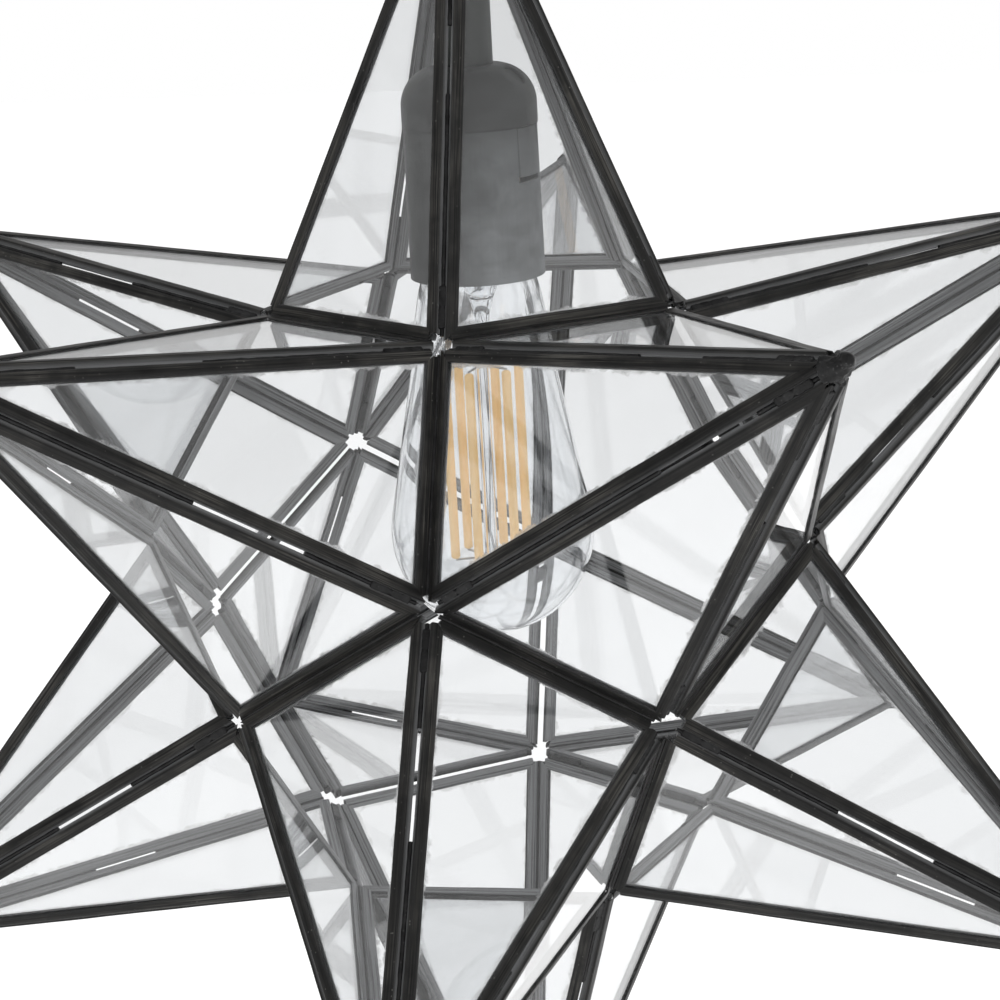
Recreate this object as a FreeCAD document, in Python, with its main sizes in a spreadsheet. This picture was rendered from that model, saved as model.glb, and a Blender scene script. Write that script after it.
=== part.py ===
"""Moravian star pendant: sixty clear panes in black came, with a lamp on its axis.

The star is a dodecahedron with a five-sided glass point on each face.  One point
stands up and is cut off for the lamp's stem, one hangs down, five lean up and five
lean down.  One of the lower points is hinged, to reach the bulb.

Millimetres.  +Z is up and -Y is the front.  The origin is the centre of the
hanging loop's eye.  Heights on the star's axis are first worked out from the star's
centre, as levels, and then lowered by the level of the eye.
"""
import FreeCAD
import Part
import Sketcher
import os
from math import asin, atan, cos, degrees, pi, radians, sin, sqrt, tan

Vector = FreeCAD.Vector
Rotation = FreeCAD.Rotation
Placement = FreeCAD.Placement

# Driving dimensions: name, value, what it is.
DIMENSIONS = [
    ("edge_length", 77.0, "base edge of a point"),
    ("ridge_length", 157.0, "sloping edge of a point"),
    ("came_face", 3.5, "width of a came strip on the pane"),
    ("came_depth", 2.8, "came strip across the pane's thickness"),
    ("came_wall", 0.5, "came sheet"),
    ("glass_thickness", 1.6, "pane"),
    ("glass_edge_gap", 0.6, "pane's edge to the came's web"),
    ("seam_gap", 0.4, "slit between two soldered cames"),
    ("service_gap", 1.6, "slit round the hinged point"),
    ("seam_fill", 0.5, "how far solder fills the groove's outer half, as a share"),
    ("tack_length", 14.0, "run of solder at each end of a seam"),
    ("tack_end_gap", 5.0, "vertex hole to the solder's start"),
    ("tip_cut", 8.0, "tip's end that is solder instead of came"),
    ("tip_base_radius", 4.9, "solder tip at its foot"),
    ("tip_end_radius", 1.9, "solder tip at its end"),
    ("tip_rounding", 1.2, "solder tip's rounded end"),
    ("top_cut", 32.0, "upper point's end that is cut off"),
    ("knuckle_radius", 1.2, "service hinge barrel"),
    ("knuckle_length", 8.0, "one hinge knuckle"),
    ("knuckle_gap", 0.3, "between knuckles, and knuckle to came"),
    ("hinge_pin_radius", 0.6, "hinge pin"),
    ("hinge_pin_clearance", 0.05, "pin in its knuckles"),
    ("hinge_head_radius", 1.05, "peened ends of the pin"),
    ("hinge_head_length", 0.8, "peened ends of the pin"),
    ("leaf_thickness", 0.6, "hinge leaf"),
    ("catch_width", 6.0, "spring finger of the service point"),
    ("catch_thickness", 0.8, "spring finger"),
    ("catch_reach", 7.0, "spring finger past the came"),
    ("catch_place", 14.0, "spring finger from the free corner"),
    ("rim_level", 94.0, "mouth of the lampholder above the star's centre"),
    ("skirt_height", 46.0, "lampholder skirt"),
    ("skirt_top_radius", 19.8, "lampholder skirt"),
    ("skirt_flare", 0.4, "lampholder skirt's rim past its top"),
    ("skirt_wall", 1.2, "lampholder skirt"),
    ("dome_height", 18.0, "lampholder cap"),
    ("dome_lip", 0.3, "lampholder cap past the skirt's top"),
    ("dome_flat", 8.2, "lampholder cap's flat top, radius"),
    ("dome_wall", 1.8, "lampholder cap"),
    ("spigot_gap", 0.2, "cap's spigot to the lock tab when pressed in"),
    ("spigot_height", 2.4, "cap's spigot inside the skirt"),
    ("dimple_radius", 3.6, "finger dimple above the lock tab"),
    ("dimple_depth", 1.1, "finger dimple above the lock tab"),
    ("dimple_lean", 48.0, "finger dimple's slope on the shoulder, degrees"),
    ("tab_azimuth", 70.0, "lock tab, degrees round from the front"),
    ("tab_width", 11.0, "lock tab"),
    ("tab_height", 15.0, "lock tab"),
    ("tab_side_gap", 0.3, "lock tab in its window"),
    ("tab_foot_gap", 1.5, "slot under the lock tab"),
    ("tab_travel", 0.8, "how far the lock tab presses in"),
    ("block_height", 9.0, "contact block"),
    ("shell_radius", 13.5, "inside of the threaded shell"),
    ("shell_wall", 0.4, "threaded shell"),
    ("shell_short", 0.6, "threaded shell's mouth above the bulb cap's"),
    ("shell_flange_bore", 9.0, "threaded shell's turned-in top"),
    ("tongue_radius", 3.0, "centre contact"),
    ("tongue_thickness", 0.8, "centre contact"),
    ("contact_gap", 0.3, "bulb's tip to the centre contact"),
    ("terminal_radius", 2.6, "terminal screw head"),
    ("terminal_height", 2.0, "terminal screw head"),
    ("terminal_offset", 10.5, "terminal screw from the axis"),
    ("bulb_length", 146.0, "bulb from its foot to its tip"),
    ("bulb_radius", 32.0, "bulb's round end"),
    ("bulb_neck_gap", 1.4, "bulb's neck to the lampholder's mouth"),
    ("bulb_wall", 0.8, "bulb's glass"),
    ("bulb_neck_height", 8.0, "bulb's shoulder into its cap"),
    ("bulb_cap_radius", 13.1, "bulb's screw cap"),
    ("bulb_cap_height", 22.5, "bulb's screw cap"),
    ("bulb_cap_wall", 0.3, "bulb's screw cap"),
    ("bulb_insulator_height", 3.2, "black glass under the tip contact"),
    ("bulb_tip_radius", 4.6, "bulb's tip contact"),
    ("bulb_tip_height", 0.8, "bulb's tip contact"),
    ("filament_count", 6.0, "filament rods"),
    ("filament_ring", 11.5, "filament rods' circle, radius"),
    ("filament_radius", 1.5, "filament rod"),
    ("filament_top_gap", 13.5, "filament rods' top to the glass rod's foot"),
    ("filament_foot", 23.0, "filament rods' foot above the bulb's foot"),
    ("filament_turn", -10.0, "first filament rod from the front, degrees"),
    ("mandrel_radius", 2.1, "glass rod on the bulb's axis"),
    ("flare_height", 22.0, "glass foot of that rod"),
    ("support_radius", 0.35, "support wires"),
    ("rod_radius", 5.0, "hollow threaded rod"),
    ("rod_bore", 3.5, "hollow threaded rod"),
    ("rod_clearance", 0.1, "rod through sheet and tube ends"),
    ("rod_nut_height", 4.0, "nut on the rod inside the lampholder cap"),
    ("stem_radius", 7.5, "tube round the rod"),
    ("stem_wall", 1.0, "tube round the rod"),
    ("cap_radius", 18.6, "sheet cap on the cut point"),
    ("cap_flat", 9.4, "sheet cap's raised flat"),
    ("cap_rise", 5.0, "sheet cap"),
    ("cap_sheet", 1.2, "sheet cap"),
    ("washer_radius", 8.6, "washer on the sheet cap"),
    ("washer_height", 1.2, "washer on the sheet cap"),
    ("nut_across", 14.0, "hexagon nut, across flats"),
    ("nut_height", 4.0, "hexagon nut"),
    ("hub_radius", 8.0, "hanging loop's hub"),
    ("hub_height", 19.0, "hanging loop's hub"),
    ("hub_socket", 9.0, "rod's depth in the hub"),
    ("outlet_radius", 3.6, "cord outlet at the hub's back"),
    ("outlet_height", 12.8, "cord outlet above the hub's foot"),
    ("eye_radius", 8.0, "hanging loop's eye"),
    ("eye_ring", 3.6, "metal round the eye"),
    ("eye_thickness", 5.0, "hanging loop, front to back"),
]

# A regular dodecahedron with edge 1: its face's circumradius and its inradius.
FACE_CIRCUMRADIUS = 1 / (2 * sin(pi / 5))
INRADIUS = sqrt(5 / 2 + 11 * sqrt(5) / 10) / 2
FACE_ANGLE = degrees(2 * atan((1 + sqrt(5)) / 2))
NEIGHBOUR_TILT = 180 - FACE_ANGLE
POINT_SIDES = 5
STEP = 360 / POINT_SIDES
# The hinged point leans down towards this azimuth.  Its sides are numbered from the
# corner that points up, and side n runs from corner n to corner n + 1.
SERVICE_AZIMUTH = 216
HINGE_SIDE_INDEX = 3
CATCH_SIDE_INDEX = 1
FIXED_KNUCKLES = (0, 2, 4)
MOVING_KNUCKLES = (1, 3)
KNUCKLE_COUNT = 5
TERMINAL_SCREWS = 2
# Two spots this near to each other are the same one.
SAME_SPOT = 0.01

doc = FreeCAD.newDocument("moravian_star_pendant")


class Size:
    """A number together with the spreadsheet expression that it follows."""

    def __init__(self, value, text):
        self.value = value
        self.text = text

    @staticmethod
    def of(other):
        return other if isinstance(other, Size) else Size(float(other), repr(float(other)))

    def joined(self, sign, other, value):
        return Size(value, f"({self.text} {sign} {Size.of(other).text})")

    def __add__(self, other):
        return self.joined("+", other, self.value + Size.of(other).value)

    def __sub__(self, other):
        return self.joined("-", other, self.value - Size.of(other).value)

    def __mul__(self, other):
        return self.joined("*", other, self.value * Size.of(other).value)

    def __truediv__(self, other):
        return self.joined("/", other, self.value / Size.of(other).value)

    def __neg__(self):
        return Size(-self.value, f"(-1 * {self.text})")

    def root(self):
        return Size(sqrt(self.value), f"sqrt({self.text})")


class Sizes:
    """The spreadsheet's named cells, as attributes."""


def make_sheet():
    """Write the driving dimensions into the spreadsheet and return them by name."""
    sheet = doc.addObject("Spreadsheet::Sheet", "Dims")
    sizes = Sizes()
    for row, (alias, value, note) in enumerate(DIMENSIONS, start=1):
        sheet.set(f"A{row}", alias)
        sheet.set(f"B{row}", str(value))
        sheet.setAlias(f"B{row}", alias)
        sheet.set(f"C{row}", note)
    doc.recompute()
    for alias, _, _ in DIMENSIONS:
        setattr(sizes, alias, Size(float(sheet.get(alias)), f"Dims.{alias}"))
    return sizes


dims = make_sheet()
nodes = []

# ---------------------------------------------------------------- derived sizes

point_foot = dims.edge_length * INRADIUS
point_height = (dims.ridge_length * dims.ridge_length
                - dims.edge_length * dims.edge_length * FACE_CIRCUMRADIUS ** 2).root()
tip_level = point_foot + point_height
cut_level = tip_level - dims.top_cut
crown_level = cut_level + dims.cap_rise
washer_level = crown_level
nut_level = washer_level + dims.washer_height
hub_level = nut_level + dims.nut_height
eye_level = hub_level + dims.hub_height + dims.eye_radius
seam_level = dims.rim_level + dims.skirt_height
dome_level = seam_level + dims.dome_height
block_level = seam_level - dims.spigot_height - dims.block_height
tongue_level = block_level - dims.tongue_thickness
bulb_tip_level = tongue_level - dims.contact_gap
bulb_foot_level = bulb_tip_level - dims.bulb_length
star_centre = -eye_level

skirt_rim_radius = dims.skirt_top_radius + dims.skirt_flare
dome_radius = dims.skirt_top_radius + dims.dome_lip
dome_rounding = dome_radius - dims.dome_flat
spigot_radius = dims.skirt_top_radius - dims.skirt_wall - dims.tab_travel - dims.spigot_gap
bulb_neck_radius = skirt_rim_radius - dims.skirt_wall - dims.bulb_neck_gap
bulb_end_height = dims.bulb_insulator_height + dims.bulb_tip_height
shell_height = (dims.bulb_cap_height + bulb_end_height + dims.contact_gap
                + dims.tongue_thickness - dims.shell_short)
filament_length = (dims.bulb_length - bulb_end_height - dims.bulb_cap_height
                   - dims.flare_height - dims.filament_top_gap - dims.filament_foot)


def azimuth(angle, radius=1.0, height=0.0):
    """A point at an angle in degrees, turned from the front (-Y) towards +X."""
    turn = radians(angle)
    return Vector(radius * sin(turn), -radius * cos(turn), height)


def facing(azimuth_angle, lean):
    """The turn that leans a point from upright towards an azimuth, in degrees."""
    axis = azimuth(azimuth_angle + 90)
    corner_turn = 0 if lean == 180 else STEP / 2
    return Rotation(axis, lean) * Rotation(Vector(0, 0, 1), corner_turn)


def add_node(feature, label):
    """Give a finished piece its name and keep it for the export."""
    feature.Label = label
    nodes.append(feature)
    return feature


def place(feature, level, rotation=None, x=0.0, y=0.0):
    """Stand a piece at a level on the star's axis, and tie that height to the sheet."""
    height = level + star_centre
    feature.Placement = Placement(Vector(x, y, height.value), rotation or Rotation())
    feature.setExpression("Placement.Base.z", height.text)
    return feature


# ---------------------------------------------------------------- sketched pieces

def origin_plane(body, role):
    for feature in body.Origin.OriginFeatures:
        if feature.Role == role:
            return feature
    raise ValueError(role)


def bind(sketch, kind, index, position, size, name):
    """Hold one coordinate of a sketch point, from the axes or from the sheet."""
    if abs(size.value) < 1e-9:
        axis = -2 if kind == "DistanceX" else -1
        sketch.addConstraint(Sketcher.Constraint("PointOnObject", index, position, axis))
        return
    constraint = Sketcher.Constraint(kind, -1, 1, index, position, size.value)
    sketch.renameConstraint(sketch.addConstraint(constraint), name)
    sketch.setExpression(f"Constraints.{name}", size.text)


def arc_between(start, end, radius):
    """The short arc of a radius that bulges to the right of start to end."""
    chord = end - start
    middle = (start + end) * 0.5
    rise = radius - sqrt(max(radius ** 2 - (chord.Length / 2) ** 2, 0))
    outward = Vector(chord.y, -chord.x, 0).normalize()
    return Part.Arc(start, middle + outward * rise, end)


def draw_outline(sketch, corners):
    """Draw a closed outline.  A corner is (x, y), or (x, y, r) after an arc of radius r."""
    spots = [Vector(corner[0].value, corner[1].value, 0) for corner in corners]
    ends = []
    for number, corner in enumerate(corners):
        start, end = spots[number - 1], spots[number]
        if len(corner) == 3:
            arc = arc_between(start, end, corner[2].value)
            index = sketch.addGeometry(arc, False)
            forward = (sketch.Geometry[index].StartPoint - start).Length < SAME_SPOT
            ends.append((index, 1, 2) if forward else (index, 2, 1))
        else:
            index = sketch.addGeometry(Part.LineSegment(start, end), False)
            ends.append((index, 1, 2))
    for number, corner in enumerate(corners):
        index, _, last = ends[number]
        following, first, _ = ends[(number + 1) % len(corners)]
        sketch.addConstraint(Sketcher.Constraint("Coincident", index, last, following, first))
        bind(sketch, "DistanceX", index, last, corner[0], f"across{number}")
        bind(sketch, "DistanceY", index, last, corner[1], f"along{number}")
        if len(corner) == 3:
            radius = Sketcher.Constraint("Radius", index, corner[2].value)
            sketch.renameConstraint(sketch.addConstraint(radius), f"round{number}")
            sketch.setExpression(f"Constraints.round{number}", corner[2].text)


def add_sketch(body, role, name):
    sketch = body.newObject("Sketcher::SketchObject", name)
    sketch.AttachmentSupport = (origin_plane(body, role), [""])
    sketch.MapMode = "FlatFace"
    return sketch


def turned(name, corners, level, label=None):
    """A piece of revolution about the star's axis, from its half outline."""
    body = doc.addObject("PartDesign::Body", f"{name}_body")
    sketch = add_sketch(body, "XZ_Plane", f"{name}_outline")
    draw_outline(sketch, corners)
    turn = body.newObject("PartDesign::Revolution", f"{name}_turned")
    turn.Profile = sketch
    turn.ReferenceAxis = (sketch, ["V_Axis"])
    turn.Angle = 360
    sketch.Visibility = False
    place(body, level)
    return add_node(body, label) if label else body


ZERO = Size(0.0, "0")


def ring_outline(outer, inner, height):
    return [(inner, ZERO), (outer, ZERO), (outer, height), (inner, height)]


def primitive(kind, name, placement=None, **sizes):
    """A Part primitive whose sizes follow the sheet."""
    feature = doc.addObject(f"Part::{kind}", name)
    for key, size in sizes.items():
        size = Size.of(size)
        setattr(feature, key, size.value)
        if "Dims." in size.text:
            feature.setExpression(key, size.text)
    if placement is not None:
        feature.Placement = placement
    return feature


def bind_base(feature, **coordinates):
    """Tie a primitive's corner or centre to the sheet."""
    base = feature.Placement.Base
    for key, size in coordinates.items():
        setattr(base, key, size.value)
    feature.Placement = Placement(base, feature.Placement.Rotation)
    for key, size in coordinates.items():
        feature.setExpression(f"Placement.Base.{key}", size.text)
    return feature


def combined(kind, name, shapes):
    feature = doc.addObject(f"Part::{kind}", name)
    feature.Shapes = shapes
    return feature


def cut(name, base, tool):
    feature = doc.addObject("Part::Cut", name)
    feature.Base = base
    feature.Tool = tool
    return feature


# ---------------------------------------------------------------- panes and cames

def point_corners():
    """The upright point's foot corners and its tip, about the star's centre."""
    radius = dims.edge_length.value * FACE_CIRCUMRADIUS
    foot = [azimuth(STEP * n, radius, point_foot.value) for n in range(POINT_SIDES)]
    return foot, Vector(0, 0, tip_level.value)


def outward_normal(first, second, tip):
    normal = (second - first).cross(tip - first).normalize()
    return normal if normal.dot(first + second) > 0 else -normal


def plane_inset(opening, gap):
    """How far two facing strips keep back from their corner, for the angle between them."""
    half = radians(opening) / 2
    return dims.came_depth.value / 2 / tan(half) + gap / 2 / sin(half)


def pane_angle():
    """The angle between two neighbouring panes of one point, inside the point."""
    foot, tip = point_corners()
    one = outward_normal(foot[0], foot[1], tip)
    two = outward_normal(foot[1], foot[2], tip)
    return 180 - degrees(one.getAngle(two))


def valley_angle():
    """The angle between panes of neighbouring points, seen from outside."""
    foot, tip = point_corners()
    flat = Vector(0, 0, 1)
    lean = degrees(outward_normal(foot[0], foot[1], tip).getAngle(flat))
    return 360 - FACE_ANGLE - 2 * lean


def inset_outline(corners, insets):
    """Move each side of a flat convex outline inwards by its own amount."""
    count = len(corners)
    middle = sum(corners, Vector()) * (1 / count)
    lines = []
    for number in range(count):
        start, end = corners[number], corners[(number + 1) % count]
        along = (end - start).normalize()
        inward = middle - start
        inward = (inward - along * inward.dot(along)).normalize()
        lines.append((start + inward * insets[number], along, inward))
    moved = []
    for number in range(count):
        base, along, _ = lines[number - 1]
        target, _, inward = lines[number]
        moved.append(base + along * ((target - base).dot(inward) / along.dot(inward)))
    return moved


def solid_from_faces(loops):
    faces = [Part.Face(Part.makePolygon(loop + [loop[0]])) for loop in loops]
    solid = Part.makeSolid(Part.makeShell(faces))
    if solid.Volume < 0:
        solid.reverse()
    return solid


def prism_between(near, far):
    """A solid between two flat loops with the same number of corners."""
    count = len(near)
    sides = [[near[n], near[(n + 1) % count], far[(n + 1) % count], far[n]]
             for n in range(count)]
    return solid_from_faces([near, far] + sides)


def came_strips(corners, insets, normal):
    """U-shaped strips round a pane, mitred where they meet."""
    face, wall = dims.came_face.value, dims.came_wall.value
    half = dims.came_depth.value / 2
    section = [(0, -half), (face, -half), (face, wall - half), (wall, wall - half),
               (wall, half - wall), (face, half - wall), (face, half), (0, half)]
    outlines = {depth: inset_outline(corners, [inset + depth for inset in insets])
                for depth in (0, wall, face)}
    strips = []
    for number in range(len(corners)):
        following = (number + 1) % len(corners)
        near = [outlines[depth][number] + normal * rise for depth, rise in section]
        far = [outlines[depth][following] + normal * rise for depth, rise in section]
        strips.append(prism_between(near, far))
    return strips


def glass_pane(corners, insets, normal):
    keep_back = dims.came_wall.value + dims.glass_edge_gap.value
    outline = inset_outline(corners, [inset + keep_back for inset in insets])
    half = normal * (dims.glass_thickness.value / 2)
    return prism_between([spot - half for spot in outline], [spot + half for spot in outline])


def pane_layout(side, valley_gap, flat_top):
    """One pane's nominal corners, the insets of its sides and its outward normal."""
    foot, tip = point_corners()
    first, second = foot[side], foot[(side + 1) % POINT_SIDES]
    normal = outward_normal(first, second, tip)
    ridge = plane_inset(pane_angle(), dims.seam_gap.value)
    valley = plane_inset(valley_angle(), valley_gap)
    if not flat_top:
        return [first, second, tip], [valley, ridge, ridge], normal
    share = dims.top_cut.value / point_height.value
    upper = [tip + (spot - tip) * share for spot in (second, first)]
    top = dims.came_depth.value / 2 * tan(pi / 2 - normal.getAngle(Vector(0, 0, 1)))
    return [first, second] + upper, [valley, ridge, top, ridge], normal


def point_shapes(valley_gap, flat_top=False):
    """The strips and the panes of one upright point, about the star's centre."""
    strips = []
    panes = []
    reach = dims.ridge_length.value
    end_level = tip_level.value - dims.tip_cut.value
    keep = Part.makeBox(2 * reach, 2 * reach, 2 * reach, Vector(-reach, -reach, end_level - 2 * reach))
    for side in range(POINT_SIDES):
        corners, insets, normal = pane_layout(side, valley_gap, flat_top)
        panes.append(glass_pane(corners, insets, normal))
        for strip in came_strips(corners, insets, normal):
            strips.append(strip if flat_top else strip.common(keep).Solids[0])
    return Part.makeCompound(strips), Part.makeCompound(panes)


def add_shape(label, shape, rotation=None, shift=None):
    """A piece from its finished shape about the star's centre, then set in place."""
    feature = doc.addObject("Part::Feature", label)
    feature.Shape = shape
    feature.Placement = Placement(shift or Vector(0, 0, star_centre.value), rotation or Rotation())
    return add_node(feature, label)


def star_points():
    """Each point's name and its turn from upright, without the hinged one."""
    points = [("top_point", Rotation()), ("bottom_point", facing(0, 180))]
    for number in range(POINT_SIDES):
        upper = facing(STEP / 2 + STEP * number, NEIGHBOUR_TILT)
        points.append((f"upper_point_{number + 1}", upper))
    lower = [STEP * number for number in range(POINT_SIDES)]
    lower.remove(SERVICE_AZIMUTH)
    for number, angle in enumerate(lower):
        points.append((f"lower_point_{number + 1}", facing(angle, 180 - NEIGHBOUR_TILT)))
    return points


def add_points():
    plain = point_shapes(dims.seam_gap.value)
    cut_off = point_shapes(dims.seam_gap.value, flat_top=True)
    for name, rotation in star_points():
        strips, panes = cut_off if name == "top_point" else plain
        add_shape(f"{name}_frame", strips.copy(), rotation)
        add_shape(f"{name}_glass", panes.copy(), rotation)
    wide = 2 * dims.service_gap.value - dims.seam_gap.value
    strips, panes = point_shapes(wide)
    add_shape("service_point_frame", strips, service_turn())
    add_shape("service_point_glass", panes, service_turn())


def service_turn():
    return facing(SERVICE_AZIMUTH, 180 - NEIGHBOUR_TILT)


# ---------------------------------------------------------------- solder

def groove_section(corner, along, inner_one, inner_two, opening, gap):
    """The solder's four-cornered section in the groove between two facing strips.

    inner_one and inner_two point along the two panes, away from their common edge.
    """
    inset = plane_inset(opening, gap)
    half = dims.came_depth.value / 2
    fill = half * dims.seam_fill.value
    section = []
    for direction, reaches in ((inner_one, (-half, fill)), (inner_two, (fill, -half))):
        level = direction.cross(along).normalize()
        level = level if level.dot(inner_one + inner_two) > 0 else -level
        section += [corner + direction * inset - level * reach for reach in reaches]
    return section


def solder_run(start, end, far_one, far_two, opening, gap):
    """Solder in the groove along start to end, between the panes on far_one and far_two."""
    along = (end - start).normalize()
    directions = []
    for far in (far_one, far_two):
        across = far - start
        directions.append((across - along * across.dot(along)).normalize())
    sections = [groove_section(spot, along, directions[0], directions[1], opening, gap)
                for spot in (start, end)]
    return prism_between(sections[0], sections[1])


def ridge_runs(flat_top=False):
    """Solder at both ends of each ridge of an upright point."""
    foot, tip = point_corners()
    runs = []
    start_at = dims.tack_end_gap.value
    length = dims.tack_length.value
    cut_back = (dims.top_cut if flat_top else dims.tip_cut).value
    ridge = dims.ridge_length.value
    top = ridge * (1 - cut_back / point_height.value) - dims.came_depth.value
    for number in range(POINT_SIDES):
        corner = foot[number]
        up = (tip - corner).normalize()
        sides = (foot[number - 1], foot[(number + 1) % POINT_SIDES])
        for begin in (start_at, top - length):
            start, end = corner + up * begin, corner + up * (begin + length)
            runs.append(solder_run(start, end, sides[0], sides[1], pane_angle(),
                                   dims.seam_gap.value))
    return runs


def tip_solids():
    """The rounded solder end of an upright point."""
    cone = Part.makeCone(dims.tip_base_radius.value, dims.tip_end_radius.value,
                         dims.tip_cut.value, Vector(0, 0, tip_level.value - dims.tip_cut.value))
    rim = max(cone.Edges, key=lambda edge: edge.BoundBox.ZMin)
    return cone.makeFillet(dims.tip_rounding.value, [rim])


def all_corners():
    """The star's twenty corners and, for each, the tips of the points that meet there."""
    foot, tip = point_corners()
    turns = [rotation for _, rotation in star_points()] + [service_turn()]
    tips = [turn.multVec(tip) for turn in turns]
    corners = []
    for turn in turns:
        for spot in foot:
            turned_spot = turn.multVec(spot)
            if all((turned_spot - other).Length > SAME_SPOT for other in corners):
                corners.append(turned_spot)
    return corners, tips


def valley_runs():
    """Solder inside each valley between two points, apart from the hinged one's."""
    corners, tips = all_corners()
    service_tip = tips[-1]
    ridge = dims.ridge_length.value
    runs = []
    for number, one in enumerate(corners):
        for two in corners[number + 1:]:
            if abs((one - two).Length - dims.edge_length.value) > SAME_SPOT:
                continue
            near = [tip for tip in tips if abs((tip - one).Length - ridge) < SAME_SPOT
                    and abs((tip - two).Length - ridge) < SAME_SPOT]
            if service_tip in near:
                continue
            along = (two - one).normalize()
            for begin in (dims.tack_end_gap.value,
                          dims.edge_length.value - dims.tack_end_gap.value - dims.tack_length.value):
                start = one + along * begin
                end = start + along * dims.tack_length.value
                runs.append(solder_run(start, end, near[0], near[1], valley_angle(),
                                       dims.seam_gap.value))
    return runs


def turned_copies(solids, rotation):
    copies = []
    for solid in solids:
        copy = solid.copy()
        copy.Placement = Placement(Vector(), rotation).multiply(copy.Placement)
        copies.append(copy)
    return copies


def add_solder():
    ridges = []
    tips = []
    for name, rotation in star_points():
        flat_top = name == "top_point"
        ridges += turned_copies(ridge_runs(flat_top), rotation)
        if not flat_top:
            tips += turned_copies([tip_solids()], rotation)
    add_shape("ridge_solder", Part.makeCompound(ridges))
    add_shape("valley_solder", Part.makeCompound(valley_runs()))
    add_shape("tip_solder", Part.makeCompound(tips))
    service = ridge_runs() + [tip_solids()]
    add_shape("service_point_solder", Part.makeCompound(service), service_turn())


# ---------------------------------------------------------------- service hinge and catch

def valley_frame(side, neighbour):
    """The placement of a pane beside a valley: X along it, Y up the pane, Z outward.

    side counts the hinged point's sides.  neighbour picks the pane across the valley.
    """
    foot, tip = point_corners()
    turn = service_turn()
    first = turn.multVec(foot[side])
    second = turn.multVec(foot[(side + 1) % POINT_SIDES])
    _, tips = all_corners()
    own_tip = tips[-1]
    ridge = dims.ridge_length.value
    for other in tips:
        meets = all(abs((other - spot).Length - ridge) < SAME_SPOT for spot in (first, second))
        if meets and (other - own_tip).Length > SAME_SPOT:
            far_tip = other
    along = (second - first).normalize()
    across = (far_tip if neighbour else own_tip) - first
    across = (across - along * across.dot(along)).normalize()
    normal = along.cross(across)
    if normal.dot(far_tip if not neighbour else own_tip) < 0:
        along, normal = -along, -normal
    middle = (first + second) * 0.5
    rotation = Rotation(along, across, normal, "ZXY")
    return Placement(middle + Vector(0, 0, star_centre.value), rotation)


def hinge_offsets():
    """The hinge axis in a pane's frame: up the pane, and out from its middle plane."""
    out = dims.came_depth / 2 + dims.knuckle_gap + dims.knuckle_radius
    half = radians(valley_angle()) / 2
    return out / tan(half), out


def knuckle_start(number):
    pitch = dims.knuckle_length + dims.knuckle_gap
    return pitch * number - (pitch * KNUCKLE_COUNT - dims.knuckle_gap) / 2


def hinge_leaf(name, knuckles, inset, mirrored):
    """A narrow leaf on the came with its knuckles, in a pane's frame."""
    up, out = hinge_offsets()
    strip_foot = up + dims.knuckle_radius + dims.knuckle_gap
    strip_top = dims.came_face + inset
    pitch = dims.knuckle_length + dims.knuckle_gap
    span = pitch * KNUCKLE_COUNT - dims.knuckle_gap
    strip = primitive("Box", f"{name}_strip", Length=span, Width=strip_top - strip_foot,
                      Height=dims.leaf_thickness)
    bind_base(strip, x=-span / 2, y=strip_foot, z=dims.came_depth / 2)
    pieces = [strip]
    for number in knuckles:
        place_on = KNUCKLE_COUNT - 1 - number if mirrored else number
        start = knuckle_start(place_on)
        lug = primitive("Box", f"{name}_lug{number}", Length=dims.knuckle_length,
                        Width=strip_top - up, Height=dims.leaf_thickness)
        bind_base(lug, x=start, y=up, z=dims.came_depth / 2)
        barrel = primitive("Cylinder", f"{name}_barrel{number}", Radius=dims.knuckle_radius,
                           Height=dims.knuckle_length,
                           placement=Placement(Vector(), Rotation(Vector(0, 1, 0), 90)))
        bind_base(barrel, x=start, y=up, z=out)
        pieces += [lug, barrel]
    whole = combined("MultiFuse", f"{name}_whole", pieces)
    bore = primitive("Cylinder", f"{name}_bore", Radius=dims.hinge_pin_radius + dims.hinge_pin_clearance,
                     Height=span * 2, placement=Placement(Vector(), Rotation(Vector(0, 1, 0), 90)))
    bind_base(bore, x=-span, y=up, z=out)
    return cut(f"{name}_cut", whole, bore)


def hinge_pin(name):
    """The pin with its two peened ends, in a pane's frame."""
    up, out = hinge_offsets()
    pitch = dims.knuckle_length + dims.knuckle_gap
    span = pitch * KNUCKLE_COUNT - dims.knuckle_gap
    along_x = Placement(Vector(), Rotation(Vector(0, 1, 0), 90))
    end = span / 2 + dims.hinge_pin_clearance
    shaft = primitive("Cylinder", f"{name}_shaft", Radius=dims.hinge_pin_radius,
                      Height=end * 2, placement=along_x)
    bind_base(shaft, x=-end, y=up, z=out)
    heads = []
    for label, start in (("left", -end - dims.hinge_head_length), ("right", end)):
        head = primitive("Cylinder", f"{name}_{label}", Radius=dims.hinge_head_radius,
                         Height=dims.hinge_head_length, placement=along_x)
        heads.append(bind_base(head, x=start, y=up, z=out))
    return combined("MultiFuse", f"{name}_whole", [shaft] + heads)


def add_hinge():
    own = valley_frame(HINGE_SIDE_INDEX, neighbour=False)
    other = valley_frame(HINGE_SIDE_INDEX, neighbour=True)
    star_inset = plane_inset(valley_angle(), dims.seam_gap.value)
    door_inset = plane_inset(valley_angle(), 2 * dims.service_gap.value - dims.seam_gap.value)
    fixed = hinge_leaf("fixed_leaf", FIXED_KNUCKLES, star_inset, mirrored=False)
    fixed.Placement = other
    add_node(fixed, "hinge_fixed_leaf")
    moving = hinge_leaf("moving_leaf", MOVING_KNUCKLES, door_inset, mirrored=True)
    moving.Placement = own
    add_node(moving, "hinge_moving_leaf")
    pin = hinge_pin("hinge_pin")
    pin.Placement = other
    add_node(pin, "hinge_pin")


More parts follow.
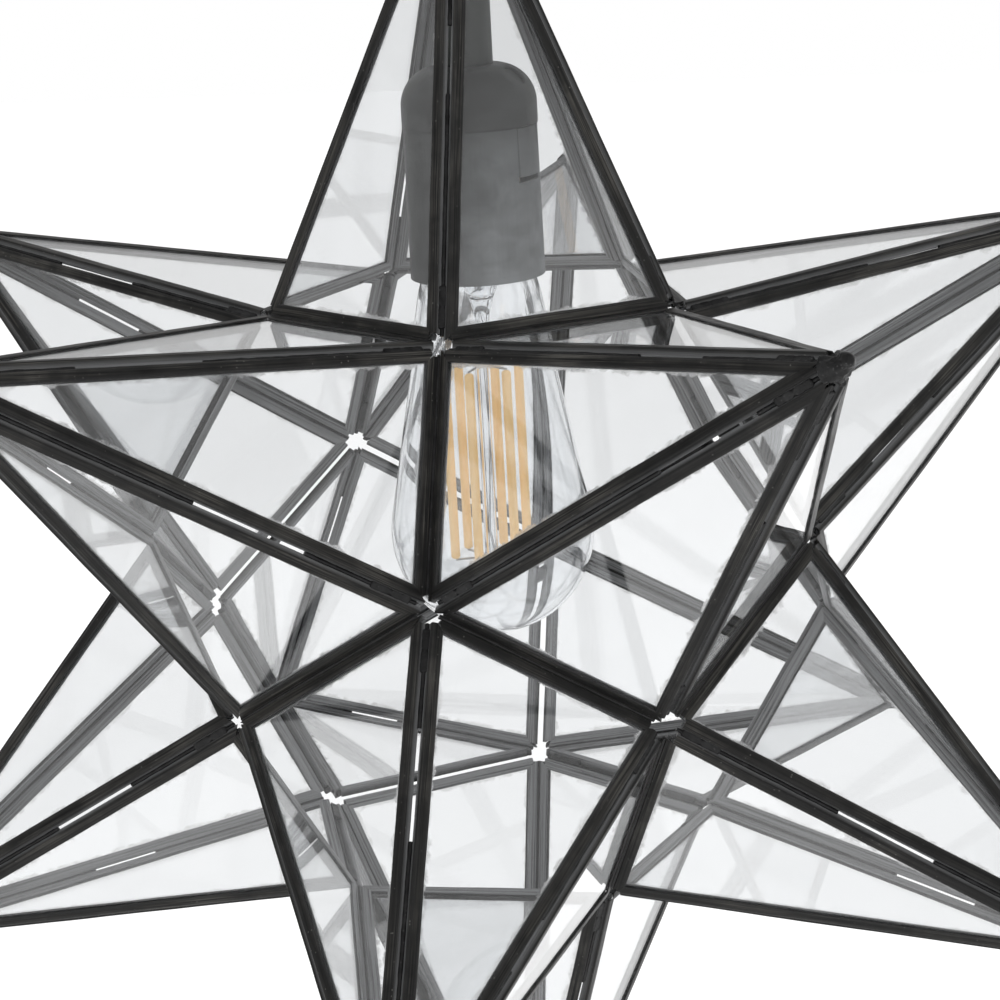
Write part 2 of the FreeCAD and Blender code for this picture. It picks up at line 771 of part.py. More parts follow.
def add_catch():
    """A spring finger on the hinged point that slides in behind its neighbour."""
    frame = valley_frame(CATCH_SIDE_INDEX, neighbour=False)
    inset = plane_inset(valley_angle(), 2 * dims.service_gap.value - dims.seam_gap.value)
    half = dims.came_depth.value / 2
    foot, tip = point_corners()
    normal = outward_normal(foot[0], foot[1], tip)
    pane_lean = pi / 2 - normal.getAngle(Vector(0, 0, 1))
    # Straight into the star from the hinged point's foot, in the pane's frame.
    inward = Vector(0, -cos(pane_lean), -sin(pane_lean))
    sideways = Vector(0, -sin(pane_lean), cos(pane_lean))
    corner = Vector(0, inset, half)
    thickness = dims.catch_thickness.value
    down_web = Vector(0, 0, -1) * (thickness / cos(pane_lean))
    reach = inward * dims.catch_reach.value
    inner = corner + down_web
    foot_inner = corner - sideways * thickness + reach
    outline = [corner, inner, foot_inner, corner + reach]
    place_x = dims.edge_length.value / 2 - dims.catch_place.value
    ends = []
    for offset in (-0.5, 0.5):
        shift = Vector(-(place_x + offset * dims.catch_width.value), 0, 0)
        ends.append([spot + shift for spot in outline])
    feature = doc.addObject("Part::Feature", "service_catch")
    feature.Shape = prism_between(ends[0], ends[1])
    feature.Placement = frame
    add_node(feature, "service_catch")


# ---------------------------------------------------------------- stem, cap and loop

def add_stem():
    bottom = dome_level
    top = crown_level - dims.cap_sheet
    turned("stem_tube", ring_outline(dims.stem_radius, dims.stem_radius - dims.stem_wall, top - bottom),
           bottom, "stem_tube")
    rod_foot = dome_level - dims.dome_wall - dims.rod_nut_height - dims.rod_radius / 4
    rod_top = hub_level + dims.hub_socket
    turned("threaded_rod", ring_outline(dims.rod_radius, dims.rod_bore, rod_top - rod_foot),
           rod_foot, "threaded_rod")


def add_top_cap():
    """The sheet cap: a flat rim on the cut point, a sloping wall and a raised flat."""
    hole = dims.rod_radius + dims.rod_clearance
    shoulder = dims.cap_flat + dims.cap_rise - dims.cap_sheet
    corners = [
        (hole, dims.cap_rise - dims.cap_sheet),
        (dims.cap_flat - dims.cap_sheet / 2, dims.cap_rise - dims.cap_sheet),
        (shoulder - dims.cap_sheet / 2, ZERO),
        (dims.cap_radius, ZERO),
        (dims.cap_radius, dims.cap_sheet),
        (shoulder, dims.cap_sheet),
        (dims.cap_flat, dims.cap_rise),
        (hole, dims.cap_rise),
    ]
    turned("top_cap", corners, cut_level, "top_cap")
    turned("washer", ring_outline(dims.washer_radius, hole, dims.washer_height), washer_level,
           "top_washer")


def hexagon_nut(name, label, height, level):
    """A hexagon nut with a plain bore for the rod."""
    body = doc.addObject("PartDesign::Body", f"{name}_body")
    sketch = add_sketch(body, "XY_Plane", f"{name}_outline")
    side = dims.nut_across / sqrt(3)
    half = dims.nut_across / 2
    corners = [(side, ZERO), (side / 2, half), (-side / 2, half),
               (-side, ZERO), (-side / 2, -half), (side / 2, -half)]
    draw_outline(sketch, corners)
    bore = dims.rod_radius + dims.rod_clearance
    index = sketch.addGeometry(Part.Circle(Vector(), Vector(0, 0, 1), bore.value), False)
    sketch.addConstraint(Sketcher.Constraint("Coincident", index, 3, -1, 1))
    name_index = sketch.addConstraint(Sketcher.Constraint("Radius", index, bore.value))
    sketch.renameConstraint(name_index, "bore")
    sketch.setExpression("Constraints.bore", bore.text)
    pad = body.newObject("PartDesign::Pad", f"{name}_pad")
    pad.Profile = sketch
    pad.Length = height.value
    pad.setExpression("Length", height.text)
    place(body, level)
    add_node(body, label)


def add_hanging_loop():
    """The hub with the cord outlet at its back, and the flat eye above it."""
    quarter = Rotation(Vector(1, 0, 0), 90)
    hub = primitive("Cylinder", "loop_hub", Radius=dims.hub_radius, Height=dims.hub_height)
    bind_base(hub, z=-dims.hub_height - dims.eye_radius)
    ring = primitive("Cylinder", "loop_ring", Radius=dims.eye_radius + dims.eye_ring,
                     Height=dims.eye_thickness, placement=Placement(Vector(), quarter))
    bind_base(ring, y=dims.eye_thickness / 2)
    whole = combined("MultiFuse", "loop_whole", [hub, ring])
    eye = primitive("Cylinder", "loop_eye", Radius=dims.eye_radius,
                    Height=dims.hub_radius * 4, placement=Placement(Vector(), quarter))
    bind_base(eye, y=dims.hub_radius * 2)
    socket = primitive("Cylinder", "loop_socket", Radius=dims.rod_radius + dims.rod_clearance,
                       Height=dims.hub_socket)
    bind_base(socket, z=-dims.hub_height - dims.eye_radius)
    passage = primitive("Cylinder", "loop_passage", Radius=dims.rod_bore,
                        Height=dims.outlet_height)
    bind_base(passage, z=-dims.hub_height - dims.eye_radius)
    backward = Rotation(Vector(-1, 0, 0), 90)
    outlet = primitive("Cylinder", "loop_outlet", Radius=dims.outlet_radius,
                       Height=dims.hub_radius * 2, placement=Placement(Vector(), backward))
    bind_base(outlet, z=dims.outlet_height - dims.hub_height - dims.eye_radius)
    holes = combined("MultiFuse", "loop_holes", [eye, socket, passage, outlet])
    add_node(cut("loop_cut", whole, holes), "hanging_loop")


# ---------------------------------------------------------------- lampholder

def tab_turn():
    return Rotation(Vector(0, 0, 1), dims.tab_azimuth.value - 90)


def tab_block(name, width, foot, height, inner):
    """A block that cuts out the lock tab's region, with X pointing out through it."""
    block = primitive("Box", name, Length=dome_radius * 2, Width=width, Height=height)
    offset = Placement(Vector(inner.value, -width.value / 2, 0), Rotation())
    turn = Placement(Vector(), tab_turn())
    block.Placement = turn.multiply(offset)
    return bind_base(block, z=foot + star_centre)


def add_lampholder():
    """The plastic cap and skirt, with the lock tab in its window."""
    tab_foot = seam_level - dims.tab_height
    window = tab_block("window_block", dims.tab_width + dims.tab_side_gap * 2,
                       tab_foot - dims.tab_foot_gap, dims.tab_height + dims.tab_foot_gap * 2,
                       spigot_radius / 2)
    skirt_outline = [
        (skirt_rim_radius - dims.skirt_wall, ZERO),
        (skirt_rim_radius, ZERO),
        (dims.skirt_top_radius, dims.skirt_height),
        (dims.skirt_top_radius - dims.skirt_wall, dims.skirt_height),
    ]
    add_node(cut("skirt_cut", turned("skirt", skirt_outline, dims.rim_level), window),
             "holder_skirt")
    tab_outline = [
        (dims.skirt_top_radius - dims.skirt_wall, ZERO),
        (dims.skirt_top_radius + dims.tab_side_gap, ZERO),
        (dims.skirt_top_radius, dims.tab_height - dims.tab_side_gap),
        (dims.skirt_top_radius - dims.skirt_wall, dims.tab_height - dims.tab_side_gap),
    ]
    tab_tube = turned("tab_tube", tab_outline, tab_foot)
    tab = doc.addObject("Part::Common", "tab_common")
    tab.Base = tab_tube
    tab.Tool = tab_block("tab_region", dims.tab_width, tab_foot, dims.tab_height,
                         spigot_radius / 2)
    add_node(tab, "holder_lock_tab")


def add_holder_cap():
    """The rounded cap with a spigot into the skirt and a dimple above the lock tab."""
    flat = dims.dome_flat
    inner = dome_radius - dims.dome_wall
    spigot_bore = spigot_radius - dims.dome_wall
    hole = dims.rod_radius + dims.rod_clearance
    rise = dims.dome_height - dome_rounding
    base = dims.spigot_height
    corners = [
        (spigot_bore, ZERO),
        (spigot_radius, ZERO),
        (spigot_radius, base),
        (dome_radius, base),
        (dome_radius, base + rise),
        (flat, base + dims.dome_height, dome_rounding),
        (hole, base + dims.dome_height),
        (hole, base + dims.dome_height - dims.dome_wall),
        (flat, base + dims.dome_height - dims.dome_wall),
        (inner, base + rise),
        (spigot_bore, base + rise - dims.dome_wall),
    ]
    dome = turned("dome", corners, seam_level - base)
    lean = dims.dimple_lean.value
    outward = azimuth(dims.tab_azimuth.value, cos(radians(lean)), sin(radians(lean)))
    shoulder = azimuth(dims.tab_azimuth.value, flat.value, (seam_level + rise + star_centre).value)
    start = shoulder + outward * (dome_rounding.value - dims.dimple_depth.value)
    dimple = primitive("Cylinder", "dimple", Radius=dims.dimple_radius, Height=dome_rounding)
    dimple.Placement = Placement(start, Rotation(Vector(0, 0, 1), outward))
    add_node(cut("dome_cut", dome, dimple), "holder_cap")


def add_contacts():
    """The contact block, the threaded shell, the centre contact and the terminals."""
    hole = dims.rod_bore
    turned("block", ring_outline(spigot_radius, hole, dims.block_height), block_level,
                   "contact_block")
    shell_corners = [
        (dims.shell_radius, ZERO),
        (dims.shell_radius + dims.shell_wall, ZERO),
        (dims.shell_radius + dims.shell_wall, shell_height),
        (dims.shell_flange_bore, shell_height),
        (dims.shell_flange_bore, shell_height - dims.shell_wall),
        (dims.shell_radius, shell_height - dims.shell_wall),
    ]
    turned("shell", shell_corners, block_level - shell_height, "threaded_shell")
    tongue = [(ZERO, ZERO), (dims.tongue_radius + dims.rod_bore / 2, ZERO),
              (dims.tongue_radius + dims.rod_bore / 2, dims.tongue_thickness),
              (ZERO, dims.tongue_thickness)]
    turned("tongue", tongue, tongue_level, "centre_contact")
    screws = []
    for number in range(TERMINAL_SCREWS):
        spot = azimuth(360 / TERMINAL_SCREWS * number + 90, dims.terminal_offset.value)
        screw = primitive("Cylinder", f"terminal_{number}", Radius=dims.terminal_radius,
                          Height=dims.terminal_height)
        screw.Placement = Placement(spot, Rotation())
        screws.append(bind_base(screw, z=block_level + dims.block_height + star_centre))
    terminals = doc.addObject("Part::Compound", "terminals")
    terminals.Links = screws
    add_node(terminals, "terminal_screws")


# ---------------------------------------------------------------- bulb

def bulb_profile():
    """The bulb cap's and neck's heights above the foot, and where ball and cone touch.

    The touching place is the angle from the axis, seen from the ball's centre.
    """
    rise = dims.bulb_length - dims.bulb_tip_height - dims.bulb_insulator_height
    cap_foot = rise - dims.bulb_cap_height
    neck = cap_foot - dims.bulb_neck_height
    reach = (neck - dims.bulb_radius).value
    distance = sqrt(reach ** 2 + bulb_neck_radius.value ** 2)
    lean = asin(dims.bulb_radius.value / distance) - atan(bulb_neck_radius.value / reach)
    return cap_foot, neck, pi / 2 - lean


def add_envelope():
    """The pear-shaped glass: a ball end, a straight cone and a short shoulder."""
    cap_foot, neck, lean = bulb_profile()
    mouth = dims.bulb_cap_radius - dims.bulb_cap_wall
    halves = []
    for name, skin in (("envelope_outer", ZERO), ("envelope_hollow", dims.bulb_wall)):
        ball = dims.bulb_radius - skin
        corners = [
            (ZERO, skin),
            (ball, dims.bulb_radius, ball),
            (ball * sin(lean), dims.bulb_radius + ball * cos(lean), ball),
            (bulb_neck_radius - skin, neck - skin),
            (mouth - skin, cap_foot),
            (ZERO, cap_foot),
        ]
        halves.append(turned(name, corners, bulb_foot_level))
    add_node(cut("envelope_cut", halves[0], halves[1]), "bulb_envelope")


def add_bulb_cap():
    cap_foot, _, _ = bulb_profile()
    radius, wall = dims.bulb_cap_radius, dims.bulb_cap_wall
    corners = ring_outline(radius, radius - wall, dims.bulb_cap_height)
    turned("bulb_cap", corners, bulb_foot_level + cap_foot, "bulb_screw_cap")
    insulator_level = bulb_foot_level + cap_foot + dims.bulb_cap_height
    insulator = [(ZERO, ZERO), (radius - wall, ZERO),
                 (dims.bulb_tip_radius, dims.bulb_insulator_height),
                 (ZERO, dims.bulb_insulator_height)]
    turned("bulb_insulator", insulator, insulator_level, "bulb_insulator")
    tip = [(ZERO, ZERO), (dims.bulb_tip_radius, ZERO),
           (dims.bulb_tip_radius - dims.bulb_tip_height, dims.bulb_tip_height),
           (ZERO, dims.bulb_tip_height)]
    turned("bulb_tip", tip, insulator_level + dims.bulb_insulator_height, "bulb_tip_contact")


def add_filaments():
    """Upright rods on a circle, joined at both ends to wires from the glass rod."""
    cap_foot, _, _ = bulb_profile()
    foot = bulb_foot_level + dims.filament_foot
    top = foot + filament_length
    flare_top = bulb_foot_level + cap_foot
    mandrel = [
        (ZERO, ZERO),
        (dims.mandrel_radius, ZERO),
        (dims.mandrel_radius, flare_top - foot - dims.flare_height + dims.support_radius * 2),
        (dims.bulb_cap_radius - dims.bulb_cap_wall - dims.bulb_wall,
         flare_top - foot + dims.support_radius * 2),
        (ZERO, flare_top - foot + dims.support_radius * 2),
    ]
    turned("bulb_stem", mandrel, foot - dims.support_radius * 2, "bulb_stem")
    rods = []
    wires = []
    count = int(round(dims.filament_count.value))
    for number in range(count):
        angle = dims.filament_turn.value + 360 / count * number
        spot = azimuth(angle, dims.filament_ring.value)
        rod = primitive("Cylinder", f"filament_{number}", Radius=dims.filament_radius,
                        Height=filament_length)
        rod.Placement = Placement(spot, Rotation())
        rods.append(bind_base(rod, z=foot + star_centre))
        for label, level in (("foot", foot - dims.support_radius), ("top", top + dims.support_radius)):
            radial = Rotation(Vector(0, 0, 1), azimuth(angle))
            wire = primitive("Cylinder", f"wire_{label}_{number}", Radius=dims.support_radius,
                             Height=dims.filament_ring - dims.mandrel_radius)
            start = azimuth(angle, dims.mandrel_radius.value)
            wire.Placement = Placement(start, radial)
            wires.append(bind_base(wire, z=level + star_centre))
    rods_node = doc.addObject("Part::Compound", "filaments")
    rods_node.Links = rods
    add_node(rods_node, "bulb_filaments")
    wires_node = doc.addObject("Part::Compound", "wires")
    wires_node.Links = wires
    add_node(wires_node, "bulb_support_wires")


# ---------------------------------------------------------------- build and export

def check_document():
    """Stop if any feature failed or a piece isn't a sound solid."""
    doc.recompute()
    for feature in doc.Objects:
        if "Invalid" in feature.State or "Error" in feature.State:
            raise RuntimeError(f"{feature.Name} failed: {feature.State}")
    for node in nodes:
        shape = node.Shape
        if shape.isNull() or not shape.isValid() or not shape.Solids:
            raise RuntimeError(f"{node.Label} isn't a sound solid")


def export_nodes():
    os.makedirs("parts", exist_ok=True)
    for node in nodes:
        node.Shape.exportStep(os.path.join("parts", f"{node.Label}.step"))
    print(f"{len(nodes)} pieces, star centre at z = {star_centre.value:.2f} mm")


add_points()
add_solder()
add_hinge()
add_catch()
add_stem()
add_top_cap()
hexagon_nut("lock_nut", "lock_nut", dims.nut_height, nut_level)
hexagon_nut("rod_nut", "rod_nut", dims.rod_nut_height,
            dome_level - dims.dome_wall - dims.rod_nut_height)
add_hanging_loop()
add_lampholder()
add_holder_cap()
add_contacts()
add_envelope()
add_bulb_cap()
add_filaments()
check_document()
export_nodes()
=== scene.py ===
"""Moravian star pendant: blackened came, clear hand-cut panes and a clear filament bulb.

Metres, in the CAD frame: +Z is up, -Y is the front and the origin is the centre of the
hanging loop's eye.  The cames, the panes, the solder and the bulb's glass are built here with
the detail of the real ones, the small plain pieces are rounded over, and each stands where
its CAD piece is.
"""
import math
import random

import bmesh
import bpy
from mathutils import Matrix, Vector, noise


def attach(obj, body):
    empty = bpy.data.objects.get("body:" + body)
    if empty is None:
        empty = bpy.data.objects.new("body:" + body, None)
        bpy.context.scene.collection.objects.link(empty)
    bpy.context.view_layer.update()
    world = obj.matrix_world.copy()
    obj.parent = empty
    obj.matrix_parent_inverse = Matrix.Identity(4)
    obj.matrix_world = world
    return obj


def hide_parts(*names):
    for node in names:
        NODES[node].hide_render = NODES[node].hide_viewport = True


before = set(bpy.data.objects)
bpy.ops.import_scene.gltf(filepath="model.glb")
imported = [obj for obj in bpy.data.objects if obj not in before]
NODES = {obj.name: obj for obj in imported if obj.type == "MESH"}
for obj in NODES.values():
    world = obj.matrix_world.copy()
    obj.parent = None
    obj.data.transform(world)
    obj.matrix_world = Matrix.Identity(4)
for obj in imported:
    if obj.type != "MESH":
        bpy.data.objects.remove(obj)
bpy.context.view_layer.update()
SCENE = bpy.context.scene

# Without a seed, noise_vector's pattern follows the clock.
noise.seed_set(5)

MM = 0.001

# The CAD part's own sizes and places.
STAR_CENTRE = Vector((0.0, 0.0, -0.2336248))
EDGE = 0.077
RIDGE = 0.157
FOOT_RADIUS = EDGE / (2 * math.sin(math.pi / 5))
FOOT_LEVEL = EDGE * math.sqrt(5 / 2 + 11 * math.sqrt(5) / 10) / 2
TIP_LEVEL = FOOT_LEVEL + math.sqrt(RIDGE ** 2 - FOOT_RADIUS ** 2)
TOP_CUT = 32 * MM
TIP_CUT = 8 * MM
CAME_FACE = 3.5 * MM
CAME_DEPTH = 2.8 * MM
CAME_WALL = 0.5 * MM
SEAM_GAP = 0.4 * MM
SERVICE_GAP = 2.8 * MM
PANE_THICKNESS = 1.6 * MM
PANE_SET_BACK = 0.6 * MM
HOLDER_SEAM = -93.62 * MM
BULB_FOOT = -252.1248 * MM

# Places closer than this are one place.
SAME_PLACE = 1e-5


def body_for(node):
    """The body that a piece of the star or of the service point rides on."""
    return "service_point" if node.startswith("service_") or node == "hinge_moving_leaf" else "star"


# ------------------------------------------------------------------ shader tools

def new_material(name):
    """A material with only its Principled shader and output."""
    material = bpy.data.materials.new(name)
    material.use_nodes = True
    tree = material.node_tree
    shader = next(node for node in tree.nodes if node.type == "BSDF_PRINCIPLED")
    return material, tree, shader


def add(tree, kind, **settings):
    """A new shader node with its properties set."""
    node = tree.nodes.new(f"ShaderNode{kind}")
    for key, value in settings.items():
        setattr(node, key, value)
    return node


def set_inputs(node, **values):
    """Set a node's inputs by name, with _ for each space."""
    for key, value in values.items():
        node.inputs[key.replace("_", " ")].default_value = value
    return node


def ramp_between(tree, source, stops):
    """A colour ramp from (position, colour or grey) stops."""
    ramp = add(tree, "ValToRGB")
    elements = ramp.color_ramp.elements
    while len(elements) < len(stops):
        elements.new(0.5)
    for element, (position, colour) in zip(elements, stops):
        element.position = position
        element.color = (colour,) * 3 + (1,) if isinstance(colour, float) else colour + (1,)
    tree.links.new(source, ramp.inputs["Fac"])
    return ramp.outputs["Color"]


def math_node(tree, operation, *values, clamp=False):
    """A Math node's value, from numbers or other nodes' outputs."""
    node = add(tree, "Math", operation=operation, use_clamp=clamp)
    for socket, value in zip(node.inputs, values):
        if isinstance(value, (int, float)):
            socket.default_value = value
        else:
            tree.links.new(value, socket)
    return node.outputs["Value"]


def times(tree, first, second, clamp=False):
    return math_node(tree, "MULTIPLY", first, second, clamp=clamp)


def rising(tree, source, start, gain):
    """0 up to a start value, and from there up to 1 by a gain."""
    return times(tree, math_node(tree, "SUBTRACT", source, start), gain, clamp=True)


# A Mix node's colour sockets have the names of its number sockets, so they go by place.
MIX_COLOUR_A, MIX_COLOUR_B, MIX_COLOUR_RESULT = 6, 7, 2


def mix_colours(tree, share, first, second):
    """The second colour over the first, by a share from 0 to 1."""
    node = add(tree, "Mix", data_type="RGBA")
    sockets = node.inputs["Factor"], node.inputs[MIX_COLOUR_A], node.inputs[MIX_COLOUR_B]
    for socket, value in zip(sockets, (share, first, second)):
        if isinstance(value, (int, float)):
            socket.default_value = value
        elif isinstance(value, tuple):
            socket.default_value = value + (1,)
        else:
            tree.links.new(value, socket)
    return node.outputs[MIX_COLOUR_RESULT]


def new_group(name, inputs, outputs):
    """An empty shader group with typed, named sockets."""
    group = bpy.data.node_groups.new(name, "ShaderNodeTree")
    for socket, kind, value in inputs:
        made = group.interface.new_socket(socket, in_out="INPUT", socket_type=f"NodeSocket{kind}")
        if value is not None:
            made.default_value = value
    for socket, kind in outputs:
        group.interface.new_socket(socket, in_out="OUTPUT", socket_type=f"NodeSocket{kind}")
    return group, group.nodes.new("NodeGroupInput"), group.nodes.new("NodeGroupOutput")


def place_group(tree, group, vector, **values):
    """A shader group in a material, with its own values."""
    node = tree.nodes.new("ShaderNodeGroup")
    node.node_tree = group
    tree.links.new(vector, node.inputs["Vector"])
    return set_inputs(node, **values)


def mottle_group():
    """Soft blotches with finer grain over them."""
    inputs = [("Vector", "Vector", None), ("Blotch Scale", "Float", 60.0), ("Grain Scale", "Float", 900.0)]
    outputs = [("Blotch", "Float"), ("Grain", "Float"), ("Height", "Float")]
    group, taken, given = new_group("mottle", inputs, outputs)
    blotch = set_inputs(add(group, "TexNoise"), Detail=4.0, Roughness=0.62, Distortion=0.4)
    grain = set_inputs(add(group, "TexNoise"), Detail=6.0, Roughness=0.7)
    for texture, scale in ((blotch, "Blotch Scale"), (grain, "Grain Scale")):
        group.links.new(taken.outputs["Vector"], texture.inputs["Vector"])
        group.links.new(taken.outputs[scale], texture.inputs["Scale"])
    height = math_node(group, "MULTIPLY_ADD", blotch.outputs["Fac"], 0.6, grain.outputs["Fac"])
    group.links.new(blotch.outputs["Fac"], given.inputs["Blotch"])
    group.links.new(grain.outputs["Fac"], given.inputs["Grain"])
    group.links.new(height, given.inputs["Height"])
    return group


def streak_group():
    """Long marks along a strip, from its run, its spread and its seed."""
    inputs = [("Vector", "Vector", None), ("Length", "Float", 40.0), ("Width", "Float", 1500.0),
              ("Amount", "Float", 0.5)]
    group, taken, given = new_group("streaks", inputs, [("Streak", "Float"), ("Height", "Float")])
    parts = add(group, "SeparateXYZ")
    group.links.new(taken.outputs["Vector"], parts.inputs["Vector"])
    joined = add(group, "CombineXYZ")
    seed_spread = 37.0
    for axis, scale in (("X", taken.outputs["Length"]), ("Y", taken.outputs["Width"]), ("Z", seed_spread)):
        group.links.new(times(group, parts.outputs[axis], scale), joined.inputs[axis])
    texture = set_inputs(add(group, "TexNoise"), Scale=1.0, Detail=5.0, Roughness=0.6, Distortion=0.15)
    group.links.new(joined.outputs["Vector"], texture.inputs["Vector"])
    threshold = times(group, math_node(group, "SUBTRACT", 1.0, taken.outputs["Amount"]), 0.9)
    group.links.new(rising(group, texture.outputs["Fac"], threshold, 5.0), given.inputs["Streak"])
    group.links.new(texture.outputs["Fac"], given.inputs["Height"])
    return group


def speck_group():
    """Scattered small specks: dust, pits and spatter."""
    inputs = [("Vector", "Vector", None), ("Scale", "Float", 400.0), ("Size", "Float", 0.12),
              ("Cover", "Float", 0.5)]
    group, taken, given = new_group("specks", inputs, [("Speck", "Float")])
    cells = add(group, "TexVoronoi", feature="F1")
    warp = set_inputs(add(group, "TexNoise"), Scale=35.0, Detail=2.0)
    group.links.new(taken.outputs["Vector"], cells.inputs["Vector"])
    group.links.new(taken.outputs["Vector"], warp.inputs["Vector"])
    group.links.new(taken.outputs["Scale"], cells.inputs["Scale"])
    near = math_node(group, "SUBTRACT", taken.outputs["Size"], cells.outputs["Distance"])
    spot = times(group, near, 18.0, clamp=True)
    parts = add(group, "SeparateColor")
    group.links.new(cells.outputs["Color"], parts.inputs["Color"])
    chosen = math_node(group, "LESS_THAN", parts.outputs["Red"], taken.outputs["Cover"])
    patch = rising(group, warp.outputs["Fac"], 0.42, 6.0)
    group.links.new(times(group, times(group, spot, chosen), patch), given.inputs["Speck"])
    return group


MOTTLE = mottle_group()
STREAKS = streak_group()
SPECKS = speck_group()


def object_coordinates(tree):
    return add(tree, "TexCoord").outputs["Object"]


def bump(tree, shader, height, strength, distance):
    """Fine relief from a height that changes over the surface."""
    node = set_inputs(add(tree, "Bump"), Strength=strength, Distance=distance)
    tree.links.new(height, node.inputs["Height"])
    tree.links.new(node.outputs["Normal"], shader.inputs["Normal"])


# ------------------------------------------------------------------ finishes

def came_finish():
    """Sheet came blackened with patina, rubbed paler along its edges and in long streaks."""
    material, tree, shader = new_material("black_came")
    patina_dark, patina_pale = (0.004, 0.004, 0.0042), (0.011, 0.011, 0.0108)
    sheet_dark, sheet_pale = (0.040, 0.040, 0.041), (0.26, 0.265, 0.27)
    rubbed, stained = (0.082, 0.078, 0.070), (0.09, 0.09, 0.092)
    worn_edge, dust = (0.050, 0.050, 0.051), (0.13, 0.127, 0.12)
    run = add(tree, "Attribute", attribute_name="run").outputs["Vector"]
    rim = add(tree, "Attribute", attribute_name="rim").outputs["Fac"]
    inner = add(tree, "Attribute", attribute_name="inner").outputs["Fac"]
    place = object_coordinates(tree)
    mottle = place_group(tree, MOTTLE, place, Blotch_Scale=95.0, Grain_Scale=1400.0)
    wear = place_group(tree, MOTTLE, place, Blotch_Scale=30.0, Grain_Scale=300.0)
    brushed = place_group(tree, STREAKS, run, Length=22.0, Width=1900.0, Amount=0.62)
    fine = place_group(tree, STREAKS, run, Length=34.0, Width=2600.0, Amount=0.52)
    broad = place_group(tree, STREAKS, run, Length=11.0, Width=700.0, Amount=0.44)
    specks = place_group(tree, SPECKS, place, Scale=620.0, Size=0.16, Cover=0.35)

    colour = ramp_between(tree, mottle.outputs["Blotch"], [(0.32, patina_dark), (0.68, patina_pale)])
    marks = math_node(tree, "MAXIMUM", times(tree, fine.outputs["Streak"], 0.8),
                      times(tree, broad.outputs["Streak"], 0.5), clamp=True)
    patch = math_node(tree, "ADD", times(tree, rising(tree, wear.outputs["Blotch"], 0.44, 6.0), 0.8), 0.2)
    colour = mix_colours(tree, times(tree, marks, patch), colour, rubbed)
    bare = ramp_between(tree, brushed.outputs["Streak"], [(0.0, sheet_dark), (1.0, sheet_pale)])
    bare = mix_colours(tree, times(tree, mottle.outputs["Blotch"], 0.3), bare, stained)
    colour = mix_colours(tree, inner, colour, bare)
    worn = times(tree, rim, times(tree, mottle.outputs["Grain"], 1.15, clamp=True))
    worn = times(tree, worn, math_node(tree, "SUBTRACT", 1.0, inner))
    colour = mix_colours(tree, worn, colour, worn_edge)
    colour = mix_colours(tree, times(tree, specks.outputs["Speck"], 0.7), colour, dust)
    tree.links.new(colour, shader.inputs["Base Color"])

    rough = ramp_between(tree, mottle.outputs["Blotch"], [(0.3, 0.36), (0.7, 0.56)])
    rough = mix_colours(tree, fine.outputs["Streak"], rough, (0.3, 0.3, 0.3))
    tree.links.new(rough, shader.inputs["Roughness"])
    set_inputs(shader, Metallic=0.0, IOR=1.5, Specular_IOR_Level=0.12)
    height = math_node(tree, "ADD", times(tree, fine.outputs["Height"], 0.6), mottle.outputs["Height"])
    bump(tree, shader, height, 0.3, 0.00009)
    return material


def solder_finish():
    """Solder under the same patina, smoother and a little paler than the came."""
    material, tree, shader = new_material("black_solder")
    patina_dark, patina_pale, dust = (0.004, 0.004, 0.0042), (0.018, 0.018, 0.0185), (0.12, 0.12, 0.12)
    place = object_coordinates(tree)
    mottle = place_group(tree, MOTTLE, place, Blotch_Scale=260.0, Grain_Scale=1900.0)
    specks = place_group(tree, SPECKS, place, Scale=900.0, Size=0.22, Cover=0.4)
    colour = ramp_between(tree, mottle.outputs["Blotch"], [(0.36, patina_dark), (0.66, patina_pale)])
    colour = mix_colours(tree, times(tree, specks.outputs["Speck"], 0.3), colour, dust)
    tree.links.new(colour, shader.inputs["Base Color"])
    rough = ramp_between(tree, mottle.outputs["Grain"], [(0.3, 0.26), (0.7, 0.5)])
    tree.links.new(rough, shader.inputs["Roughness"])
    set_inputs(shader, Metallic=0.0, IOR=1.5, Specular_IOR_Level=0.25)
    bump(tree, shader, mottle.outputs["Height"], 0.5, 0.00025)
    return material


def clear_for_lamps(tree, shader, tint):
    """Let light from the lamps through the glass to what is behind it."""
    output = next(node for node in tree.nodes if node.type == "OUTPUT_MATERIAL")
    clear = set_inputs(add(tree, "BsdfTransparent"), Color=tint + (1,))
    mixed = add(tree, "MixShader")
    path = add(tree, "LightPath")
    passing = math_node(tree, "MAXIMUM", path.outputs["Is Shadow Ray"], path.outputs["Is Diffuse Ray"])
    tree.links.new(passing, mixed.inputs["Fac"])
    tree.links.new(shader.outputs["BSDF"], mixed.inputs[1])
    tree.links.new(clear.outputs["BSDF"], mixed.inputs[2])
    tree.links.new(mixed.outputs["Shader"], output.inputs["Surface"])


